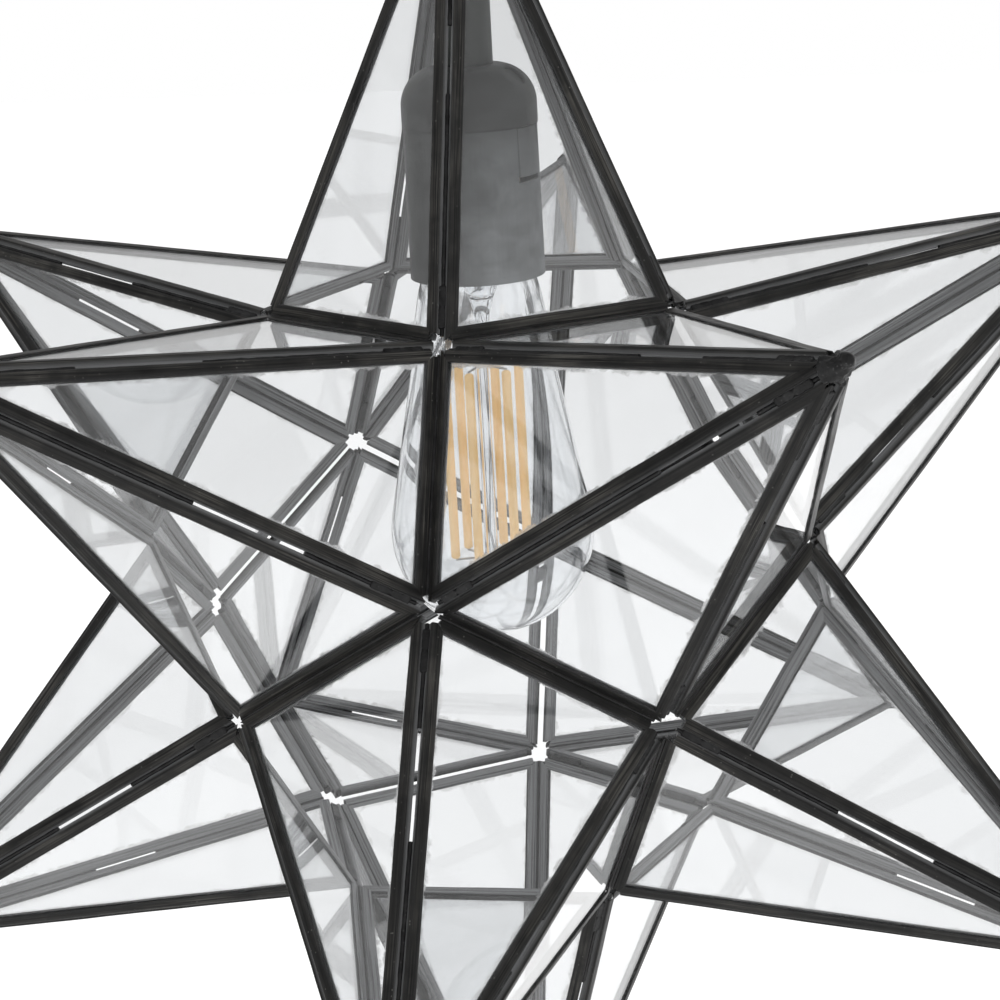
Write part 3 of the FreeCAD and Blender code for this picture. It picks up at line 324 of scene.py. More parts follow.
def pane_finish():
    """Clear sheet glass with a faint grey tint, dust, and patina dried along the cames."""
    material, tree, shader = new_material("clear_pane")
    glass_dark, glass_pale = (0.865, 0.872, 0.878), (0.885, 0.892, 0.898)
    dried, lamp_tint = (0.42, 0.41, 0.40), (0.945, 0.948, 0.95)
    place = object_coordinates(tree)
    dust = place_group(tree, SPECKS, place, Scale=165.0, Size=0.055, Cover=0.3)
    mottle = place_group(tree, MOTTLE, place, Blotch_Scale=16.0, Grain_Scale=120.0)
    ragged = place_group(tree, MOTTLE, place, Blotch_Scale=210.0, Grain_Scale=1600.0)
    reach = add(tree, "SeparateXYZ")
    tree.links.new(add(tree, "Attribute", attribute_name="reach").outputs["Vector"], reach.inputs["Vector"])
    nearer = math_node(tree, "MINIMUM", reach.outputs["Y"], reach.outputs["Z"])
    near = math_node(tree, "MINIMUM", reach.outputs["X"], nearer)
    width = times(tree, math_node(tree, "SUBTRACT", ragged.outputs["Blotch"], 0.34), 0.0062)
    residue = times(tree, math_node(tree, "SUBTRACT", width, near), 1400.0, clamp=True)
    residue = times(tree, residue, ragged.outputs["Grain"])
    marks = math_node(tree, "MAXIMUM", times(tree, dust.outputs["Speck"], 0.7), times(tree, residue, 0.85))
    colour = ramp_between(tree, mottle.outputs["Blotch"], [(0.3, glass_dark), (0.7, glass_pale)])
    tree.links.new(mix_colours(tree, marks, colour, dried), shader.inputs["Base Color"])
    tree.links.new(times(tree, marks, 0.4), shader.inputs["Roughness"])
    set_inputs(shader, Metallic=0.0, IOR=1.6, Transmission_Weight=1.0)
    clear_for_lamps(tree, shader, lamp_tint)
    return material


def bulb_glass_finish():
    """Thin blown glass, clear, with fine streaks round its neck."""
    material, tree, shader = new_material("bulb_glass_clear")
    glass_dark, glass_pale = (0.955, 0.965, 0.975), (0.975, 0.982, 0.990)
    lamp_tint = (0.985, 0.987, 0.99)
    streaks_from = -0.172
    place = object_coordinates(tree)
    mottle = place_group(tree, MOTTLE, place, Blotch_Scale=40.0, Grain_Scale=300.0)
    colour = ramp_between(tree, mottle.outputs["Blotch"], [(0.3, glass_dark), (0.7, glass_pale)])
    tree.links.new(colour, shader.inputs["Base Color"])
    rough = ramp_between(tree, mottle.outputs["Grain"], [(0.45, 0.0), (0.8, 0.05)])
    tree.links.new(rough, shader.inputs["Roughness"])
    set_inputs(shader, Metallic=0.0, IOR=1.48, Transmission_Weight=1.0)
    parts = add(tree, "SeparateXYZ")
    tree.links.new(place, parts.inputs["Vector"])
    drawn = add(tree, "Mapping")
    drawn.inputs["Scale"].default_value = (1.0, 1.0, 0.05)
    tree.links.new(place, drawn.inputs["Vector"])
    lines = place_group(tree, MOTTLE, drawn.outputs["Vector"], Blotch_Scale=240.0, Grain_Scale=700.0)
    neck = rising(tree, parts.outputs["Z"], streaks_from, 34.0)
    height = math_node(tree, "ADD", times(tree, mottle.outputs["Blotch"], 0.25),
                       times(tree, neck, lines.outputs["Blotch"]))
    bump(tree, shader, height, 0.06, 0.0009)
    clear_for_lamps(tree, shader, lamp_tint)
    return material


def grained_finish(name, dark, pale, scale, rough=(0.4, 0.6), metallic=0.0, lift=0.3, level=0.5, painted_glow=0.0):
    """Moulded plastic, painted or plain metal: soft blotches, fine grain and specks."""
    material, tree, shader = new_material(name)
    place = object_coordinates(tree)
    mottle = place_group(tree, MOTTLE, place, Blotch_Scale=scale, Grain_Scale=scale * 22)
    specks = place_group(tree, SPECKS, place, Scale=scale * 9, Size=0.13, Cover=0.3)
    colour = ramp_between(tree, mottle.outputs["Blotch"], [(0.3, dark), (0.7, pale)])
    speck_colour = tuple(min(1.0, value * 2.2) for value in pale)
    colour = mix_colours(tree, times(tree, specks.outputs["Speck"], 0.5), colour, speck_colour)
    tree.links.new(colour, shader.inputs["Base Color"])
    roughness = ramp_between(tree, mottle.outputs["Grain"], [(0.3, rough[0]), (0.7, rough[1])])
    tree.links.new(roughness, shader.inputs["Roughness"])
    set_inputs(shader, Metallic=metallic, Specular_IOR_Level=level)
    # Any emission is painted glow: light painted onto a part that is no lit lamp.
    set_inputs(shader, Emission_Color=pale + (1,), Emission_Strength=painted_glow)
    bump(tree, shader, mottle.outputs["Height"], lift, 0.00012)
    return material


def holder_finish():
    """Dark moulded plastic with a painted sheen towards its rim and on its right, painted shade in its seam,
    and specks of dust.
    """
    material, tree, shader = new_material("holder_plastic_matte")
    plastic_dark, plastic_pale = (0.009, 0.0095, 0.0095), (0.036, 0.038, 0.038)
    painted_sheen_grey, seam_shade_black, dust = (0.190, 0.200, 0.205), (0.003, 0.003, 0.003), (0.26, 0.26, 0.25)
    place = object_coordinates(tree)
    level = add(tree, "SeparateXYZ")
    tree.links.new(place, level.inputs["Vector"])
    mottle = place_group(tree, MOTTLE, place, Blotch_Scale=85.0, Grain_Scale=1500.0)
    specks = place_group(tree, SPECKS, place, Scale=330.0, Size=0.11, Cover=0.3)
    colour = ramp_between(tree, mottle.outputs["Blotch"], [(0.34, plastic_dark), (0.62, plastic_pale)])

    # Painted sheen: the skirt is painted paler towards its rim and on its right side, where the light falls.
    below = times(tree, math_node(tree, "SUBTRACT", HOLDER_SEAM, level.outputs["Z"]), 26.0, clamp=True)
    on_skirt = times(tree, math_node(tree, "GREATER_THAN", below, 0.0), 0.22)
    painted_sheen = math_node(tree, "MULTIPLY_ADD", below, 0.8, on_skirt)
    painted_sheen = times(tree, painted_sheen, times(tree, mottle.outputs["Blotch"], 1.7), clamp=True)
    lit_right_side = math_node(tree, "MULTIPLY_ADD", level.outputs["X"], 55.0, 0.55, clamp=True)
    colour = mix_colours(tree, times(tree, painted_sheen, lit_right_side), colour, painted_sheen_grey)
    # Painted shade: a thin dark line where the dome meets the skirt.
    off_seam = math_node(tree, "ABSOLUTE", math_node(tree, "SUBTRACT", level.outputs["Z"], HOLDER_SEAM))
    painted_seam_shade = math_node(tree, "SUBTRACT", 1.0, times(tree, off_seam, 2200.0), clamp=True)
    colour = mix_colours(tree, painted_seam_shade, colour, seam_shade_black)
    colour = mix_colours(tree, times(tree, specks.outputs["Speck"], 0.8), colour, dust)
    tree.links.new(colour, shader.inputs["Base Color"])

    rough = ramp_between(tree, mottle.outputs["Grain"], [(0.3, 0.42), (0.7, 0.6)])
    tree.links.new(rough, shader.inputs["Roughness"])
    set_inputs(shader, Metallic=0.0, Specular_IOR_Level=0.18)
    bump(tree, shader, mottle.outputs["Height"], 0.3, 0.00012)
    return material


FINISHES = {
    "came": came_finish(),
    "solder": solder_finish(),
    "pane_glass": pane_finish(),
    "bulb_glass": bulb_glass_finish(),
    "holder_plastic": holder_finish(),
    "block_plastic": grained_finish("block_plastic_pale", (0.36, 0.34, 0.30), (0.46, 0.43, 0.39), 90.0),
    "contact_metal": grained_finish("contact_brass", (0.62, 0.50, 0.30), (0.74, 0.61, 0.38), 110.0,
                                    rough=(0.22, 0.42), metallic=1.0),
    "insulator": grained_finish("insulator_black", (0.012, 0.012, 0.014), (0.02, 0.02, 0.022), 120.0,
                                rough=(0.12, 0.3)),
    # The filament's faint emission is painted glow; the bulb is not lit.
    "filament": grained_finish("filament_coating", (0.93, 0.60, 0.27), (1.0, 0.70, 0.35), 300.0,
                               rough=(0.5, 0.7), lift=0.1, painted_glow=0.22),
    "wire": grained_finish("nickel_wire", (0.42, 0.41, 0.40), (0.55, 0.54, 0.52), 300.0,
                           rough=(0.25, 0.45), metallic=1.0),
    "stem": grained_finish("stem_paint", (0.013, 0.016, 0.0145), (0.031, 0.035, 0.032), 110.0,
                           rough=(0.35, 0.55), level=0.3),
    "black_fittings": grained_finish("black_fittings_paint", (0.008, 0.008, 0.0085), (0.019, 0.019, 0.0195),
                                     90.0, rough=(0.32, 0.5), level=0.4),
}


def dress_nodes():
    """Give every CAD node the finish of its material slot."""
    for node in NODES.values():
        for slot in node.material_slots:
            slot.material = FINISHES[slot.material.name.split(".")[0]]


# ------------------------------------------------------------------ mesh tools

def merged_copy(node):
    """A CAD node's mesh as a bmesh with its corners joined and its flat faces whole."""
    mesh = bmesh.new()
    mesh.from_mesh(NODES[node].data)
    bmesh.ops.remove_doubles(mesh, verts=mesh.verts, dist=0.002 * MM)
    bmesh.ops.dissolve_limit(mesh, angle_limit=math.radians(0.6), verts=mesh.verts, edges=mesh.edges)
    return mesh


def finish_piece(name, mesh, slot, body, replaced=(), crease=40.0):
    """Turn a bmesh into a piece with its finish, body and the nodes it stands for."""
    data = bpy.data.meshes.new(name)
    mesh.normal_update()
    mesh.to_mesh(data)
    mesh.free()
    piece = bpy.data.objects.new(name, data)
    SCENE.collection.objects.link(piece)
    data.materials.append(FINISHES[slot])
    for face in data.polygons:
        face.use_smooth = True
    data.set_sharp_from_angle(angle=math.radians(crease))
    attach(piece, body)
    if replaced:
        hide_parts(*replaced)
    return piece


# ------------------------------------------------------------------ the star's lines

def dodecahedron_corners():
    """The star's twenty inner corners, about its centre."""
    golden = (1 + math.sqrt(5)) / 2
    belt = FOOT_RADIUS * golden
    belt_rise = math.sqrt(FOOT_RADIUS ** 2 + FOOT_LEVEL ** 2 - belt ** 2)
    corners = []
    for angle in range(0, 360, 72):
        for turn, radius, height in ((angle, FOOT_RADIUS, FOOT_LEVEL), (angle, belt, belt_rise),
                                     (angle + 36, belt, -belt_rise), (angle + 36, FOOT_RADIUS, -FOOT_LEVEL)):
            turn = math.radians(turn)
            corners.append(Vector((radius * math.sin(turn), -radius * math.cos(turn), height)))
    return corners


def point_tips():
    """Each point's tip about the star's centre, by the point's name."""
    lean = math.atan(0.5)
    tips = {"top_point": Vector((0, 0, TIP_LEVEL)), "bottom_point": Vector((0, 0, -TIP_LEVEL))}
    ring = [(f"upper_point_{number + 1}", 36 + 72 * number, 1) for number in range(5)]
    ring += [("lower_point_1", 0, -1), ("lower_point_2", 72, -1), ("lower_point_3", 144, -1),
             ("service_point", 216, -1), ("lower_point_4", 288, -1)]
    for name, angle, side in ring:
        turn = math.radians(angle)
        level, rise = math.cos(lean), side * math.sin(lean)
        tips[name] = TIP_LEVEL * Vector((level * math.sin(turn), -level * math.cos(turn), rise))
    return tips


CORNERS = dodecahedron_corners()
TIPS = point_tips()
HOLE_SIZES = (2.3, 3.0, 3.6, 4.0, 4.4)
HOLE_SEED = 60
HOLES = [random.Random(number + HOLE_SEED).choice(HOLE_SIZES) * MM for number in range(len(CORNERS))]


def hole_at(spot):
    """The size of the hole that the cames leave at a star corner, or 0 elsewhere."""
    return next((size for corner, size in zip(CORNERS, HOLES) if (spot - corner).length < SAME_PLACE), 0.0)


def ridge_from(spot, tip):
    """Whether a ridge of the point with this tip starts at a star corner."""
    return abs((spot - tip).length - RIDGE) < SAME_PLACE


def foot_corners(tip):
    """A point's five foot corners, in order round its axis."""
    axis = tip.normalized()
    side = axis.orthogonal().normalized()
    other = axis.cross(side)
    near = [spot for spot in CORNERS if ridge_from(spot, tip)]
    return sorted(near, key=lambda spot: math.atan2(spot.dot(other), spot.dot(side)))


def opening_angles():
    """The angles between a point's neighbouring panes, and across a valley."""
    foot = foot_corners(TIPS["top_point"])
    normals = [pane_normal(foot[number], foot[number + 1], TIPS["top_point"]) for number in (0, 1)]
    lean = normals[0].angle(Vector((0, 0, 1)))
    face_angle = 2 * math.atan((1 + math.sqrt(5)) / 2)
    return math.pi - normals[0].angle(normals[1]), 2 * math.pi - face_angle - 2 * lean


def pane_normal(first, second, tip):
    """The outward normal of the pane between two foot corners and the tip."""
    axis = tip.normalized()
    normal = (second - first).cross(tip - first).normalized()
    middle = (first + second) / 2
    return normal if normal.dot(middle - axis * middle.dot(axis)) > 0 else -normal


def inset_for(opening, gap):
    """How far facing strips keep back from their common line."""
    return CAME_DEPTH / 2 / math.tan(opening / 2) + gap / 2 / math.sin(opening / 2)


RIDGE_OPENING, VALLEY_OPENING = opening_angles()


# ------------------------------------------------------------------ cames

CAME_STEP = 6 * MM
CAME_WAVE = 0.00013
FINE_WAVE = 0.35
SHOULDER = 0.5 * MM
SHOULDER_STEPS = 4
CROWN = 0.06 * MM
LIP = 0.2 * MM
LAPPED_SHARE = 0.2
LEVEL_SIDE = 0.1


def came_section():
    """The U-shaped section as (depth from the web, rise, rim) with round shoulders."""
    half, face, wall = CAME_DEPTH / 2, CAME_FACE, CAME_WALL
    upper = []
    for number in range(SHOULDER_STEPS + 1):
        turn = math.pi / 2 * number / SHOULDER_STEPS
        upper.append((SHOULDER * (1 - math.cos(turn)), half - SHOULDER * (1 - math.sin(turn)), 0.25))
    upper += [(face * 0.45, half + CROWN, 0.0), (face * 0.75, half + CROWN / 2, 0.15),
              (face - LIP, half, 0.6), (face, half - LIP, 1.0), (face, half - wall, 0.3),
              (wall, half - wall, 0.0)]
    lower = [(depth, -rise, rim) for depth, rise, rim in reversed(upper)]
    return upper + lower


def end_cuts(ends, rng):
    """How far each end of a strip keeps back from its hole, and how its cut leans and twists."""
    cuts = []
    for spot in ends:
        hole = hole_at(spot)
        lapped = rng.random() < LAPPED_SHARE
        distance = hole * (rng.uniform(0.25, 0.55) if lapped else rng.uniform(0.85, 1.15))
        cuts.append((distance, rng.uniform(-0.1, 0.1), rng.uniform(-0.14, 0.14)))
    return cuts


def strip_spans(section, corners, insets, normal, side, limits, cuts):
    """Each line of the section as (base, low, high) along a side, between mitres, cuts and tip."""
    count = len(corners)
    start, end = corners[side], corners[(side + 1) % count]
    along = (end - start).normalized()
    middle = sum(corners, Vector()) / count
    inward = (middle - start) - along * (middle - start).dot(along)
    inward.normalize()
    back = (corners[side - 1] - start).normalized()
    ahead = (corners[(side + 2) % count] - end).normalized()
    angles = (along.angle(back), (-along).angle(ahead))
    others = (insets[side - 1], insets[(side + 1) % count])
    spans = []
    for depth, rise, _ in section:
        reach = insets[side] + depth
        base = start + inward * reach + normal * rise
        ends = []
        for other, angle, (distance, lean, twist) in zip(others, angles, cuts):
            mitre = (other + depth + reach * math.cos(angle)) / math.sin(angle)
            ends.append(max(mitre, distance + lean * depth + twist * rise) if distance else mitre)
        low, high = ends[0], (end - start).length - ends[1]
        if limits and abs(along.dot(limits[0])) > LEVEL_SIDE:
            axis, top = limits
            climb = along.dot(axis)
            stop = (top - base.dot(axis)) / climb
            low, high = (low, min(high, stop)) if climb > 0 else (max(low, stop), high)
        spans.append((base, low, high))
    return along, spans


def came_strip(mesh, layers, corners, insets, normal, side, limits, rng):
    """Sweep the came's section along one side of a pane, with a slight wave by hand."""
    start, end = corners[side], corners[(side + 1) % len(corners)]
    cuts = end_cuts((start, end), rng)
    seed = rng.random()
    section = came_section()
    along, spans = strip_spans(section, corners, insets, normal, side, limits, cuts)
    spreads = [0.0]
    for one, two in zip(section, section[1:]):
        spreads.append(spreads[-1] + math.hypot(two[0] - one[0], two[1] - one[1]))
    run_layer, rim_layer, inner_layer = layers
    steps = max(3, round((end - start).length / CAME_STEP))
    rings = []
    for step in range(steps + 1):
        ring = []
        for (base, low, high), spread, (_, rise, rim) in zip(spans, spreads, section):
            place = low + (high - low) * step / steps
            spot = base + along * place
            wave = noise.noise_vector(spot * 45.0 + Vector((seed * 9.0, 0, 0)))
            fine = noise.noise_vector(spot * 240.0)
            spot += (wave - along * wave.dot(along)) * CAME_WAVE + fine * CAME_WAVE * FINE_WAVE
            vertex = mesh.verts.new(spot + STAR_CENTRE)
            vertex[run_layer] = Vector((place, spread, seed))
            vertex[rim_layer] = rim
            vertex[inner_layer] = 1.0 if rise < 0 else 0.0
            ring.append(vertex)
        rings.append(ring)
    for one, two in zip(rings, rings[1:]):
        for number in range(len(section)):
            following = (number + 1) % len(section)
            mesh.faces.new((one[number], one[following], two[following], two[number]))
    mesh.faces.new(rings[0][::-1])
    mesh.faces.new(rings[-1])


def pane_outline(name, first, second, tip):
    """A pane's nominal corners and the insets of its sides."""
    gap = SERVICE_GAP if name == "service_point" else SEAM_GAP
    ridge = inset_for(RIDGE_OPENING, SEAM_GAP)
    valley = inset_for(VALLEY_OPENING, gap)
    if name != "top_point":
        return [first, second, tip], [valley, ridge, ridge]
    share = TOP_CUT / (TIP_LEVEL - FOOT_LEVEL)
    upper = [tip + (spot - tip) * share for spot in (second, first)]
    lean = pane_normal(first, second, tip).angle(tip.normalized())
    top = CAME_DEPTH / 2 * math.tan(math.pi / 2 - lean)
    return [first, second] + upper, [valley, ridge, top, ridge]


def build_cames():
    """Three strips of came round each pane, mitred, with a hole left at each star corner."""
    rng = random.Random(4)
    for name, tip in TIPS.items():
        mesh = bmesh.new()
        layers = (mesh.verts.layers.float_vector.new("run"), mesh.verts.layers.float.new("rim"),
                  mesh.verts.layers.float.new("inner"))
        foot = foot_corners(tip)
        limits = None if name == "top_point" else (tip.normalized(), TIP_LEVEL - TIP_CUT)
        for number in range(5):
            first, second = foot[number], foot[(number + 1) % 5]
            normal = pane_normal(first, second, tip)
            corners, insets = pane_outline(name, first, second, tip)
            for side in range(len(corners)):
                came_strip(mesh, layers, corners, insets, normal, side, limits, rng)
        bmesh.ops.recalc_face_normals(mesh, faces=mesh.faces)
        finish_piece(f"{name}_cames", mesh, "came", body_for(name), [f"{name}_frame"])


# ------------------------------------------------------------------ panes

PANE_CELLS = 14
PANE_WAVE = 0.05 * MM
PANE_NIP = 6.2 * MM


def inset_corners(corners, insets):
    """Move each side of a flat outline inwards by its own amount."""
    count = len(corners)
    middle = sum(corners, Vector()) / count
    lines = []
    for number in range(count):
        start, end = corners[number], corners[(number + 1) % count]
        along = (end - start).normalized()
        inward = middle - start
        inward = (inward - along * inward.dot(along)).normalized()
        lines.append((start + inward * insets[number], along, inward))
    moved = []
    for number in range(count):
        base, along, _ = lines[number - 1]
        target, _, inward = lines[number]
        moved.append(base + along * ((target - base).dot(inward) / along.dot(inward)))
    return moved, lines


def pane_sheet(mesh, layer, outline, sides, normal, seed):
    """One gently waved pane; each vertex keeps its reach to the cames beside it."""
    left_top, right_top = (outline[3], outline[2]) if len(outline) == 4 else (outline[2], outline[2])
    sheets = []
    for rise in (-PANE_THICKNESS / 2, PANE_THICKNESS / 2):
        rows = []
        for row in range(PANE_CELLS + 1):
            left = outline[0].lerp(left_top, row / PANE_CELLS)
            right = outline[1].lerp(right_top, row / PANE_CELLS)
            line = []
            for column in range(PANE_CELLS + 1):
                if line and (right - left).length < SAME_PLACE:
                    line.append(line[0])
                    continue
                spot = left.lerp(right, column / PANE_CELLS)
                wave = noise.noise(spot * 26.0 + Vector((seed, 0, 0))) * PANE_WAVE
                vertex = mesh.verts.new(spot + normal * (rise + wave) + STAR_CENTRE)
                vertex[layer] = Vector([(spot - start).dot(inward) - CAME_FACE for start, _, inward in sides])
                line.append(vertex)
            rows.append(line)
        sheets.append(rows)

    def add_face(*corners):
        corners = [vertex for number, vertex in enumerate(corners) if vertex is not corners[number - 1]]
        if len(corners) > 2:
            mesh.faces.new(corners)

    for rows in sheets:
        for low, high in zip(rows, rows[1:]):
            for number in range(PANE_CELLS):
                add_face(low[number], low[number + 1], high[number + 1], high[number])
    near, far = sheets
    for number in range(PANE_CELLS):
        add_face(near[0][number], near[0][number + 1], far[0][number + 1], far[0][number])
        add_face(near[-1][number], near[-1][number + 1], far[-1][number + 1], far[-1][number])
        for column in (0, -1):
            low_near, high_near = near[number][column], near[number + 1][column]
            low_far, high_far = far[number][column], far[number + 1][column]
            add_face(low_near, high_near, high_far, low_far)


def nip_corners(mesh, outline, corners):
    """Cut off a pane's corners where the cames leave the star's small holes."""
    for number, corner in enumerate(corners):
        if not any((corner - spot).length < SAME_PLACE for spot in CORNERS):
            continue
        ahead = (outline[(number + 1) % len(outline)] - outline[number]).normalized()
        back = (outline[number - 1] - outline[number]).normalized()
        inward = (ahead + back).normalized()
        parts = mesh.verts[:] + mesh.edges[:] + mesh.faces[:]
        bmesh.ops.bisect_plane(mesh, geom=parts, dist=1e-7, plane_co=corner + STAR_CENTRE + inward * PANE_NIP,
                               plane_no=inward, clear_inner=True)
        open_edges = [edge for edge in mesh.edges if edge.is_boundary]
        bmesh.ops.holes_fill(mesh, edges=open_edges, sides=0)


def build_panes():
    """Five panes for each point, set in their cames."""
    for order, (name, tip) in enumerate(TIPS.items()):
        mesh = bmesh.new()
        foot = foot_corners(tip)
        for number in range(5):
            first, second = foot[number], foot[(number + 1) % 5]
            corners, insets = pane_outline(name, first, second, tip)
            _, lines = inset_corners(corners, insets)
            outline, _ = inset_corners(corners, [inset + CAME_WALL + PANE_SET_BACK for inset in insets])
            sides = [lines[0], lines[1], lines[-1]]
            sheet = bmesh.new()
            reach_layer = sheet.verts.layers.float_vector.new("reach")
            normal = pane_normal(first, second, tip)
            pane_sheet(sheet, reach_layer, outline, sides, normal, seed=order * 5.0 + number)
            nip_corners(sheet, outline, corners)
            bmesh.ops.recalc_face_normals(sheet, faces=sheet.faces)
            data = bpy.data.meshes.new("pane_sheet")
            sheet.to_mesh(data)
            sheet.free()
            mesh.from_mesh(data)
            bpy.data.meshes.remove(data)
        finish_piece(f"{name}_panes", mesh, "pane_glass", body_for(name), [f"{name}_glass"])


# ------------------------------------------------------------------ bulb

def turned_shape(mesh, outline, middle, segments, wobble=0.0):
    """Turn a closed (radius, level) outline about an upright axis."""
    rings = []
    for radius, level in outline:
        if radius < SAME_PLACE:
            rings.append([mesh.verts.new(middle + Vector((0, 0, level)))])
            continue
        ring = []
        for number in range(segments):
            turn = 2 * math.pi * number / segments
            out = Vector((math.cos(turn), math.sin(turn), 0.0))
            spot = middle + out * radius + Vector((0, 0, level))
            ring.append(mesh.verts.new(spot - out * wobble * (0.5 + 0.5 * noise.noise(spot * 400.0))))
        rings.append(ring)
    for one, two in zip(rings, rings[1:] + rings[:1]):
        for number in range(segments):
            following = (number + 1) % segments
            if len(one) == 1 and len(two) == 1:
                break
            if len(one) == 1:
                mesh.faces.new((one[0], two[following], two[number]))
            elif len(two) == 1:
                mesh.faces.new((one[number], one[following], two[0]))
            else:
                mesh.faces.new((one[number], one[following], two[following], two[number]))


def envelope_side(skin):
    """The bulb's outline from its foot to its mouth, this far inside its outer face, in metres."""
    ball, neck_radius, mouth = 32.0, 17.6, 12.8
    neck, cap_foot = 111.5, 119.5
    soft = 5.0
    ball_steps, flank_steps, shoulder_steps = 40, 16, 12
    reach = neck - ball
    lean = math.asin(ball / math.hypot(reach, neck_radius)) - math.atan(neck_radius / reach)
    touch = math.pi / 2 - lean
    points = []
    for number in range(ball_steps + 1):
        turn = -math.pi / 2 + (math.pi - touch) * number / ball_steps
        points.append(((ball - skin) * math.cos(turn), ball + (ball - skin) * math.sin(turn)))
    last = Vector(points[-1])
    shoulder = Vector((neck_radius - skin, neck - skin))
    end = Vector((mouth - skin, cap_foot))
    before = shoulder + (last - shoulder).normalized() * soft
    after = shoulder + (end - shoulder).normalized() * soft
    points += [last.lerp(before, number / flank_steps).to_tuple() for number in range(1, flank_steps)]
    for number in range(shoulder_steps + 1):
        share = number / shoulder_steps
        points.append(before.lerp(shoulder, share).lerp(shoulder.lerp(after, share), share).to_tuple())
    points.append(end.to_tuple())
    return [(max(0.0, radius) * MM, level * MM) for radius, level in points]


def glass_rod_outline(skin):
    """The glass rod inside the bulb, flared and hollow towards the cap, in metres."""
    radius, foot, straight = 2.1, 22.3, 74.8
    flare, flare_length, flare_power = 9.9, 22.0, 1.7
    hollow_from, hollow_floor, end_round = 105.0, 1.2, 0.4
    straight_steps, flare_steps = 8, 16
    low = foot + end_round
    outer = [(0.0, foot), (radius - end_round, foot), (radius, low)]
    outer += [(radius, low + straight * number / straight_steps) for number in range(1, straight_steps + 1)]
    for number in range(1, flare_steps + 1):
        share = number / flare_steps
        outer.append((radius + flare * share ** flare_power, low + straight + flare_length * share))
    hollow = [(radius - skin, level) for radius, level in outer if level > hollow_from]
    outline = outer + hollow[::-1] + [(0.0, hollow[0][1] - hollow_floor)]
    return [(radius * MM, level * MM) for radius, level in outline]


def filament_outline():
    """One coated filament rod with rounded ends, about its own axis, in metres."""
    rod, end, length = 1.5, 1.1, 61.0
    end_steps, steps = 6, 36
    outline = [(0.0, 0.0)]
    for number in range(end_steps + 1):
        turn = math.pi / 2 * number / end_steps
        outline.append((rod - end + end * math.sin(turn), end - end * math.cos(turn)))
    foot_points = len(outline)
    outline += [(rod, end + (length - 2 * end) * number / steps) for number in range(1, steps)]
    outline += [(radius, length - level) for radius, level in outline[:foot_points][::-1]]
    return [(radius * MM, level * MM) for radius, level in outline]


GLASS_SKIN = 0.8
FILAMENTS = 6
FILAMENT_TURN = -10
FILAMENT_CIRCLE = 11.5 * MM
FILAMENT_FOOT = 23 * MM
COATING_WOBBLE = 0.00014


def build_bulb():
    """The blown envelope, the flared glass rod, and the coated filament rods."""
    foot = Vector((0, 0, BULB_FOOT))
    mesh = bmesh.new()
    turned_shape(mesh, envelope_side(0.0) + envelope_side(GLASS_SKIN)[::-1], foot, 128)
    bmesh.ops.recalc_face_normals(mesh, faces=mesh.faces)
    finish_piece("bulb_envelope_blown", mesh, "bulb_glass", "bulb", ["bulb_envelope"], crease=50.0)
    mesh = bmesh.new()
    turned_shape(mesh, glass_rod_outline(GLASS_SKIN), foot, 96)
    bmesh.ops.recalc_face_normals(mesh, faces=mesh.faces)
    finish_piece("bulb_stem_flared", mesh, "bulb_glass", "bulb", ["bulb_stem"], crease=50.0)
    mesh = bmesh.new()
    for number in range(FILAMENTS):
        turn = math.radians(360 / FILAMENTS * number + FILAMENT_TURN)
        right, ahead = FILAMENT_CIRCLE * math.sin(turn), -FILAMENT_CIRCLE * math.cos(turn)
        spot = Vector((right, ahead, BULB_FOOT + FILAMENT_FOOT))
        turned_shape(mesh, filament_outline(), spot, 20, wobble=COATING_WOBBLE)
    bmesh.ops.recalc_face_normals(mesh, faces=mesh.faces)
    finish_piece("bulb_filaments_coated", mesh, "filament", "bulb", ["bulb_filaments"], crease=60.0)


# ------------------------------------------------------------------ turned and cut parts

# Each plain CAD piece that is rounded over: its node, its rounding in mm and its finish.
SOFTENED = [
    ("hanging_loop", 0.7, "black_fittings"), ("top_cap", 0.35, "black_fittings"),
    ("top_washer", 0.25, "black_fittings"), ("lock_nut", 0.5, "black_fittings"),
    ("rod_nut", 0.5, "black_fittings"), ("hinge_fixed_leaf", 0.12, "black_fittings"),
    ("hinge_moving_leaf", 0.12, "black_fittings"), ("hinge_pin", 0.2, "black_fittings"),
    ("service_catch", 0.15, "black_fittings"), ("stem_tube", 0.3, "stem"),
    ("holder_skirt", 0.35, "holder_plastic"), ("holder_lock_tab", 0.3, "holder_plastic"),
]
SHARP_ANGLE = math.radians(35)


def build_softened():
    """The plain CAD pieces again with their rims and corners rounded over."""
    for node, radius, slot in SOFTENED:
        mesh = merged_copy(node)
        sharp = [edge for edge in mesh.edges
                 if len(edge.link_faces) == 2 and edge.calc_face_angle(0) > SHARP_ANGLE]
        bmesh.ops.bevel(mesh, geom=sharp, offset=radius * MM, offset_type="OFFSET", segments=3, profile=0.5,
                        affect="EDGES", clamp_overlap=True)
        body = "lock_tab" if node == "holder_lock_tab" else body_for(node)
        finish_piece(f"{node}_rounded", mesh, slot, body, [node], crease=50.0)


# ------------------------------------------------------------------ solder

RIDGE_GROOVE = -1.34 * MM
VALLEY_GROOVE = 1.46 * MM
BEAD_RADIUS = 0.62 * MM
CAP_ROOM = 2 * MM


